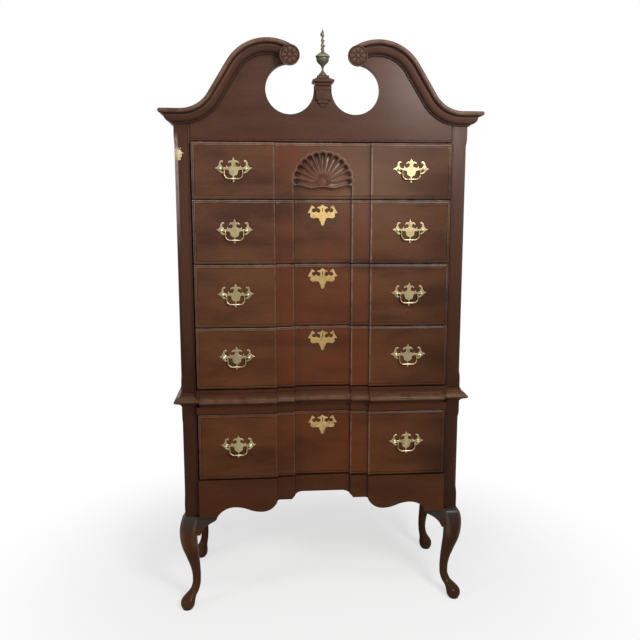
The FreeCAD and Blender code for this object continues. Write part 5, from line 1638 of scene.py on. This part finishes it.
PULL_PLATE = CastPlate(
    thick=1.6, filed=0.38, soft=1.9,
    half=((0, 35.5), (2.8, 29), (5.2, 24.8), (9.5, 25), (14.5, 23.5), (17.8, 17.6), (15, 16.6),
          (11.5, 19.6), (7, 19), (4.8, 12.5), (7.5, 8), (13, 6), (18, 4.8), (20.3, 7.5), (22.6, 11),
          (23.6, 7.5), (22.6, 3.8), (27, 3.6), (32, 4), (36, 7.5), (39, 12.5), (39.4, 17.5), (36.5, 20.4),
          (32.4, 19.8), (32, 25), (38.5, 25.6), (43.2, 21.5), (44.6, 14), (47.2, 8.6), (52, 4.4),
          (58.2, 2), (51, -1.4), (46.5, -5.6), (42, -11), (36.5, -14), (30.4, -13.6), (30, -10),
          (35, -8.8), (37.8, -6.6), (35.5, -4.2), (29, -3), (21.5, -2.8), (16.4, -3.4), (13.8, -7),
          (13.6, -12), (12, -16.8), (7.5, -20.2), (2.0, -21.8), (1.6, -28), (1.5, -34), (3.6, -37.8),
          (0, -42)),
)
KEYHOLE_PLATE = CastPlate(
    thick=1.4, filed=0.35, soft=1.5,
    half=((0, 27.5), (4.2, 23.6), (8.7, 20.4), (16.8, 18.9), (17.2, 16.2), (11.6, 14.6), (7.9, 11.5),
          (6.6, 7.5), (8.2, 3.2), (12.2, 0.8), (16.6, 1.8), (19.2, 5.4), (21.6, 5.6), (23.2, 3.4),
          (27.5, 1.8), (32.5, 3.4), (35.0, 8.5), (33.6, 13.2), (30.2, 15.2), (26.6, 14.4), (24.4, 16.4),
          (27.5, 19.8), (31.5, 22.6), (34.4, 25.4), (36.6, 22.0), (38.4, 17.5), (41.6, 12.5), (44.4, 6.5),
          (48.6, 1.4), (46.2, -0.4), (41.6, 0.2), (39.2, -2.0), (38.8, -4.4), (40.6, -8), (39.6, -12.2),
          (35.0, -15.8), (29, -16.8), (22.5, -15.2), (17.5, -14.8), (12.2, -16.8), (10.6, -19.4),
          (9.4, -24.5), (6.8, -27), (6.2, -31), (5.2, -35.8), (2.6, -39.2), (0, -40.3)),
    hole=((-1.6, 4.2), (-1.6, 13.1), (-2.5, 15), (-1.8, 16.8), (0, 17.5), (1.8, 16.8), (2.5, 15),
          (1.6, 13.1), (1.6, 4.2)),
)


@dataclass(frozen=True)
class Pulls:
    """The bail pulls of one drawer: plates, turned posts and the two hanging bails."""

    number: int
    height: float
    x: float = 281 * MM
    seat_y: float = -197 * MM
    post_half: float = 40 * MM
    post_long: float = 13 * MM
    head: float = 4.8 * MM
    neck: float = 3.0 * MM
    drop: float = 31 * MM
    half: float = 28.5 * MM
    foot: float = 14.0 * MM
    wire: float = 1.9 * MM
    upper_bend: float = 5.5 * MM
    lower_bend: float = 14.5 * MM
    pin: float = 1.55 * MM
    plate_crease: float = 20.0
    bail_crease: float = 50.0

    def build(self, shop: Workshop) -> None:
        """Places the plates and posts on the drawer and each bail on its own body.

        Args:
            shop: Where the pieces are dressed and placed.
        """
        plate, post = PULL_PLATE.shape(), self.post()
        fixed = []
        for side in (-1, 1):
            fixed.append(plate.moved(side * self.x, self.seat_y, self.height))
            for step in (-self.post_half, self.post_half):
                fixed.append(post.moved(side * self.x + step, self.seat_y, self.height))
        drawer = f"drawer_{self.number}"
        shop.place(f"pulls_{self.number}", joined(fixed), BRASS, drawer, (f"{drawer}_pull_mounts",),
                   crease=self.plate_crease)
        pivot = self.seat_y - (self.post_long - self.head)
        bail = self.bail()
        for side, sign in (("left", -1), ("right", 1)):
            loop = bail.moved(sign * self.x, pivot, self.height)
            shop.place(f"bail_loop_{self.number}_{side}", loop, BRASS, f"bail_{self.number}_{side}",
                       (f"{drawer}_bail_{side}",), crease=self.bail_crease)

    def post(self) -> Shape:
        """A turned post along -Y: washer, hollow neck and a ball, with its nut inside the drawer.

        Returns:
            The closed shape.
        """
        ball = np.radians(np.linspace(-52, 84, 15))
        centre = (self.post_long - self.head) / MM
        r = self.head / MM
        head = np.stack([r * np.cos(ball), centre + r * np.sin(ball)], 1)
        line = np.array([(0.0, -54), (5.4, -54), (6.0, -53.4), (6.0, -50.6), (5.4, -50), (2.4, -50),
                         (2.4, 1.6), (4.9, 1.6), (5.2, 2.0), (5.1, 2.7), (4.1, 3.2), (self.neck / MM, 3.9)])
        line = np.concatenate([line, head, [(0.0, centre + r)]]) * MM
        # The ball and the washer's edge: polish from handling with a painted highlight; the neck under the
        # washer: painted shade.
        rubbed_highlight = 0.2 + 0.5 * np.sin(np.clip(ball, 0, 2))
        light_and_wear = np.concatenate([np.zeros(8), [0.8, 0.4, 0, -0.5], rubbed_highlight, [0.7]])
        made = turned(line, 28, light_and_wear)
        points = np.stack([made.points[:, 0], -made.points[:, 2], made.points[:, 1]], 1)
        return Shape(points, made.faces, made.wear)

    def bail(self) -> Shape:
        """The bail: a round section swept along its loop, a little thicker at the middle.

        Returns:
            The shape with its pivot line on the X axis through the origin.
        """
        shoulder = self.post_half - self.head + 0.6 * MM
        up, low = self.upper_bend, self.lower_bend
        right = [[(0.0, -self.drop), (0.5 * self.foot, -self.drop)],
                 arc((self.foot, -self.drop + low), low, -90, 0, 13),
                 arc((self.half + up, -up), up, 180, 90, 7),
                 [(shoulder - 0.3 * MM, 0.0), (shoulder + 1.6 * MM, 0.0)]]
        right = np.concatenate([np.asarray(part) for part in right])
        path = np.concatenate([right[::-1][:-1] * (-1, 1), right])
        gap = np.linalg.norm(np.diff(path, axis=0), axis=1)
        path = path[np.concatenate([[True], gap > 1e-7])]
        along = np.gradient(path, axis=0)
        along /= np.linalg.norm(along, axis=1, keepdims=True)
        across = np.stack([-along[:, 1], along[:, 0]], 1)
        length = np.concatenate([[0], np.cumsum(np.linalg.norm(np.diff(path, axis=0), axis=1))])
        off = np.abs(length - length[-1] / 2)
        thick = self.wire + 0.75 * MM * np.exp(-((off / (9 * MM)) ** 2))
        thick += 0.35 * MM * bump(off, 26 * MM, 2.5 * MM)
        thick = np.where(off > length[-1] / 2 - 2 * MM, self.pin, thick)
        turn = np.linspace(0, 2 * np.pi, 16, endpoint=False)
        ring = path[:, None] + across[:, None] * (thick[:, None] * np.cos(turn))[:, :, None]
        rings = np.stack([ring[:, :, 0], thick[:, None] * np.sin(turn), ring[:, :, 1]], 2)
        light_and_wear = 0.55 * bump(off, 0, 14 * MM)[:, None] + 0 * turn
        return lofted(rings, light_and_wear)


@dataclass(frozen=True)
class Escutcheons:
    """The keyhole plates of the four lower drawers and a black sheet of painted shade in each keyhole behind
    them.

    The heights pair a drawer's number with its plate's height in millimetres.
    """

    heights: tuple[tuple[int, float], ...] = ((2, 1345.9), (3, 1141.6), (4, 937.3), (5, 649.0))
    ground_y: float = -170 * MM
    key_half: float = 3.2 * MM
    key_low: float = 3.0 * MM
    key_high: float = 18.6 * MM
    key_deep: float = 0.8 * MM
    key_proud: float = 0.35 * MM
    crease: float = 20.0

    def build(self, shop: Workshop) -> None:
        """Sets each plate on its drawer and fills its keyhole with a black sheet of painted shade.

        Args:
            shop: Where the pieces are dressed and placed.
        """
        plate = KEYHOLE_PLATE.shape()
        half, low, high = self.key_half, self.key_low, self.key_high
        line = np.array([(-half, low), (half, low), (half, high), (-half, high)])
        # Painted shade: a thin black sheet stands in for the dark inside of each keyhole.
        dark = lofted(np.stack([np.insert(line, 1, y, axis=1) for y in (self.key_deep, -self.key_proud)]))
        for number, seat in self.heights:
            drawer = f"drawer_{number}"
            shop.place(f"keyhole_plate_{number}", plate.moved(0, self.ground_y, seat * MM), GILT, drawer,
                       (f"{drawer}_escutcheon",), crease=self.crease)
            shop.place(f"keyhole_{number}", dark.moved(0, self.ground_y, seat * MM), KEYHOLE_SHADE, drawer)


# ---------------------------------------------------------------- legs

@dataclass(frozen=True)
class CabrioleLeg:
    """A cabriole leg: rounded squares that swing out at the knee, in at the ankle and out to a pad foot.

    Its sizes are in millimetres.
    """

    node: str
    side: int
    front: bool
    front_y: float = -177.0
    back_y: float = 223.0
    case_half: float = 465.0
    block: float = 50.0
    tall: float = 334.0
    knee_out: float = 16.0
    knee_half: float = 28.5
    ankle_in: float = 5.0
    ankle_half: float = 14.2
    foot_half: float = 23.5
    front_foot_out: float = 24.0
    rear_foot_out: float = 10.0
    rear_lean: float = 0.25
    pad_half: float = 15.0
    rings: int = 90
    corner_steps: int = 14
    crease: float = 40.0

    def stations(self) -> Array:
        """The sections that the leg runs through, from the floor up.

        Returns:
            Height, outward offset, half width and roundness of each.
        """
        foot_out = self.front_foot_out if self.front else self.rear_foot_out
        knee, thin, foot, tall = self.knee_half, self.ankle_half, self.foot_half, self.tall
        return np.array([
            (0, foot_out + 2, self.pad_half, 0.98),
            (0.02 * tall, foot_out + 1, 0.86 * foot, 0.98),
            (0.065 * tall, 1.02 * foot_out, 1.03 * foot, 0.98),
            (0.10 * tall, 0.92 * foot_out, foot, 0.98),
            (0.133 * tall, 0.62 * foot_out, 0.84 * foot, 0.98),
            (0.165 * tall, 0.20 * foot_out, 1.16 * thin, 0.98),
            (0.215 * tall, -0.5 * self.ankle_in, 1.02 * thin, 0.98),
            (0.30 * tall, -self.ankle_in, thin, 0.98),
            (0.40 * tall, -0.55 * self.ankle_in, 0.2 * knee + 0.73 * thin, 0.98),
            (0.53 * tall, 0.28 * self.knee_out, 0.74 * knee, 0.95),
            (0.68 * tall, 0.85 * self.knee_out, 0.93 * knee, 0.80),
            (0.84 * tall, self.knee_out, knee, 0.60),
            (0.92 * tall, 0.86 * self.knee_out, 0.97 * knee, 0.45),
            (0.97 * tall, 0.52 * self.knee_out, self.block / 2 + 2.5, 0.35),
            (0.99 * tall, 0.24 * self.knee_out, self.block / 2 + 1, 0.25),
            (tall, 0, self.block / 2, 0.15),
        ])

    def shape(self) -> Shape:
        """The leg on the right of the case: its sections' sizes run smoothly through the stations.

        Each section is a square whose corners are arcs of the roundness times the half width. A small step
        above the floor makes the pad under the foot.

        Returns:
            The closed shape.
        """
        given = self.stations()
        height = np.concatenate([[0, 1.2, 2.6, 3.4, 4.2, 5.4], np.linspace(7.5, self.tall, self.rings)])
        out, half, rounded = smooth_through(given[:, 0], given[:, 1:], height).T
        half = np.where(height < 3, self.pad_half + 2.8 * np.sqrt(np.clip(height / 3, 0, 1)), half)
        pad_gone = np.interp(height, [3.0, 3.4, 5.4, 9], [1, 1, 0.25, 0])
        half = np.where((height >= 3) & (height < 9), half * (1 - 0.10 * pad_gone), half)
        rounded = np.clip(rounded, 0.1, 0.985)
        flat = half * (1 - rounded)
        turn = np.radians(np.linspace(0, 90, self.corner_steps))
        quarters = []
        for number, (sx, sy) in enumerate(((1, 1), (-1, 1), (-1, -1), (1, -1))):
            angle = turn + number * math.pi / 2
            quarters.append(np.stack([sx * flat[:, None] + (half * rounded)[:, None] * np.cos(angle),
                                      sy * flat[:, None] + (half * rounded)[:, None] * np.sin(angle)], 2))
        ring = np.concatenate(quarters, 1)
        if self.front:
            centre_y, lean = self.front_y + self.block / 2, 1.0
        else:
            centre_y, lean = self.back_y - self.block / 2, self.rear_lean
        centre_x = self.case_half - self.block / 2 + out
        x = centre_x[:, None] + ring[:, :, 0]
        y = (centre_y - lean * out)[:, None] + ring[:, :, 1]
        z = height[:, None] + 0 * x
        corner = np.tile(np.abs(np.sin(2 * turn)), 4)[None]
        # Scuffing with a painted highlight on the knee corners.
        light_and_wear = 0.75 * corner * smoothstep(0.93, 0.6, rounded)[:, None] * smoothstep(150, 215, height)[:, None]
        scuffed = 0.24 * np.interp(height, [2, 4, 26, 34], [0.2, 0.6, 0.45, 0])
        light_and_wear = np.maximum(light_and_wear, scuffed[:, None])
        # Painted shade in the crease above the pad.
        light_and_wear = np.where((height > 2.4) & (height < 4.4), -0.6, light_and_wear.T).T
        made = lofted(np.stack([x, y, z], 2) * MM, light_and_wear)
        return made if self.side > 0 else made.mirrored()

    def build(self, shop: Workshop) -> None:
        """Places the leg.

        Args:
            shop: Where the piece is dressed and placed.
        """
        shop.place(f"{self.node}_carved", self.shape(), LEGS, "case", (self.node,), Grain.UPRIGHT,
                   self.crease)


# ---------------------------------------------------------------- case work

@dataclass(frozen=True)
class Joinery:
    """The straight joinery, whose arrises are eased, and the plain boards inside."""

    eased: tuple[tuple[str, float, Grain, Wood], ...] = (
        ("pediment_board", 0.9 * MM, Grain.ACROSS, CASE),
        ("finial_plinth", 0.7 * MM, Grain.ACROSS, CASE),
        ("front_apron", 1.2 * MM, Grain.ACROSS, CASE),
        ("stiles_upper", 0.7 * MM, Grain.UPRIGHT, POSTS),
        ("stiles_lower", 0.7 * MM, Grain.UPRIGHT, POSTS),
        ("knee_blocks", 1.6 * MM, Grain.ACROSS, LEGS),
        ("drawer_rails", 0.8 * MM, Grain.ACROSS, CASE),
        ("side_board_upper_left", 1.0 * MM, Grain.UPRIGHT, CASE),
        ("side_board_upper_right", 1.0 * MM, Grain.UPRIGHT, CASE),
        ("side_board_lower_left", 1.0 * MM, Grain.UPRIGHT, CASE),
        ("side_board_lower_right", 1.0 * MM, Grain.UPRIGHT, CASE),
    )
    knee_kept: float = 0.82

    def build(self, shop: Workshop) -> None:
        """Eases the outer joinery and dresses what stays as the CAD model has it.

        Args:
            shop: Where the pieces are dressed and placed.
        """
        for node, width, grain, finish in self.eased:
            kept = self.knee_kept if node == "knee_blocks" else 1.0
            shop.softened(f"{node}_eased", node, finish, "case", width, grain, kept)
        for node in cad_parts:
            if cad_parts[node].hide_render:
                continue
            if node.endswith(("_box", "_bottom")) or node in ("drawer_runners", "bottom_board"):
                shop.dress(node, INNER, Grain.DEEP if node.endswith("_bottom") else Grain.ACROSS)
            elif node == "back_panels":
                shop.dress(node, BACK, Grain.ACROSS)
            else:
                shop.dress(node, CASE)


# ---------------------------------------------------------------- studio

@dataclass(frozen=True)
class Lamp:
    """A soft rectangular lamp that looks at a point of the piece."""

    name: str
    place: tuple[float, float, float]
    target: tuple[float, float, float]
    wide: float
    tall: float
    power: float

    def build(self) -> None:
        """Adds the lamp to the scene."""
        light = bpy.data.lights.new(self.name, "AREA")
        light.shape, light.size, light.size_y, light.energy = "RECTANGLE", self.wide, self.tall, self.power
        made = bpy.data.objects.new(self.name, light)
        bpy.context.scene.collection.objects.link(made)
        made.location = self.place
        aim = np.subtract(self.target, self.place)
        made.rotation_euler = Vector(aim).to_track_quat("-Z", "Y").to_euler()


@dataclass
class Studio:
    """Pale floor, white surroundings, soft lamps and the camera."""

    floor_half: float = 12.0
    floor_tone: Colour = (0.86, 0.86, 0.86)
    white_reach: tuple[float, float] = (0.5, 1.4)
    white_shares: tuple[float, float] = (0.64, 1.0)
    lens: float = 39.58
    sensor: float = 36.0
    camera_place: tuple[float, float, float] = (-0.1906, -2.452, 1.3499)
    camera_down: float = 8.738
    camera_right: float = 4.569
    lamps: tuple[Lamp, ...] = (
        Lamp("key_lamp", (1.05, -2.45, 2.35), (0.1, 0.0, 1.15), 0.8, 0.8, 64.0),
        Lamp("top_lamp", (-0.1, -1.45, 3.2), (0.0, -0.2, 1.0), 1.0, 0.5, 16.0),
        Lamp("side_lamp", (-2.3, -1.3, 1.5), (0.0, 0.0, 1.0), 0.5, 1.8, 15.0),
    )
    soft_light: float = 0.22

    def build(self) -> None:
        """Adds everything round the object."""
        self._floor()
        self._world(self.soft_light)
        for lamp in self.lamps:
            lamp.build()
        self._camera()
        bpy.context.scene.view_settings.view_transform = "Standard"

    def _floor(self) -> None:
        """A wide floor that becomes plain white to the camera away from the object."""
        half = self.floor_half
        mesh = bpy.data.meshes.new("floor")
        corners = [(-half, -half, 0), (half, -half, 0), (half, half, 0), (-half, half, 0)]
        mesh.from_pydata(corners, [], [(0, 1, 2, 3)])
        made = bpy.data.objects.new("floor", mesh)
        bpy.context.scene.collection.objects.link(made)
        paint, tree = new_material("floor_paint")
        place = tree.add("TexCoord").outputs["Object"]
        away = tree.add("VectorMath", {0: place}, operation="LENGTH").outputs["Value"]
        seen = tree.add("LightPath").outputs["Is Camera Ray"]
        share = tree.maths("MULTIPLY", tree.ramp(away, *self.white_reach, *self.white_shares), seen)
        matt = tree.add("BsdfDiffuse", {"Color": self.floor_tone})
        white = tree.add("Emission", {"Color": (1.0, 1.0, 1.0), "Strength": 1.0})
        mixed = tree.add("MixShader", {"Fac": share, 1: matt.outputs[0], 2: white.outputs[0]})
        tree.end(mixed.outputs[0])
        mesh.materials.append(paint)

    @staticmethod
    def _world(strength: float) -> None:
        """White to the camera and in reflections, and a plain soft light on the object.

        Args:
            strength: Strength of that light.
        """
        world = bpy.data.worlds.new("surroundings")
        bpy.context.scene.world = world
        world.use_nodes = True
        world.node_tree.nodes.clear()
        tree = Tree(world.node_tree)
        path = tree.add("LightPath")
        seen = tree.maths("MAXIMUM", path.outputs["Is Camera Ray"], path.outputs["Is Glossy Ray"])
        seen = tree.maths("MAXIMUM", seen, path.outputs["Is Transmission Ray"])
        soft = tree.add("Background", {"Color": (1.0, 1.0, 1.0), "Strength": strength})
        white = tree.add("Background", {"Color": (1.0, 1.0, 1.0), "Strength": 1.0})
        mixed = tree.add("MixShader", {"Fac": seen, 1: soft.outputs[0], 2: white.outputs[0]})
        tree.end(mixed.outputs[0], "OutputWorld")

    def _camera(self) -> None:
        """The camera, a little to the left of the centre line and looking slightly down."""
        data = bpy.data.cameras.new("camera")
        data.lens, data.sensor_width = self.lens, self.sensor
        made = bpy.data.objects.new("camera", data)
        bpy.context.scene.collection.objects.link(made)
        made.location = self.camera_place
        made.rotation_euler = (math.radians(90 - self.camera_down), 0, math.radians(-self.camera_right))
        bpy.context.scene.camera = made


# ---------------------------------------------------------------- the whole object

# The pivots of the pulls over the floor in millimetres, from the top drawer down.
PULL_HEIGHTS = (1482.9, 1291.75, 1087.45, 883.15, 585.0)


def main() -> None:
    """Builds and dresses every sub-assembly, then the studio."""
    logging.basicConfig(level=logging.INFO, format="%(name)s: %(message)s")
    shop = Workshop()
    for number, height in enumerate(PULL_HEIGHTS, 1):
        DrawerFront(number, carving=ShellCarving() if number == 1 else None).build(shop)
        Pulls(number, height * MM).build(shop)
    Escutcheons().build(shop)
    Pediment().build(shop)
    WaistMoulding().build(shop)
    Rosettes().build(shop)
    Finial().build(shop)
    for row, front in (("front", True), ("rear", False)):
        for name, side in (("left", -1), ("right", 1)):
            CabrioleLeg(f"leg_{row}_{name}", side, front).build(shop)
    Joinery().build(shop)
    Studio().build()
    LOG.info("%d pieces placed", shop.count)


if __name__ == "__main__":
    main()
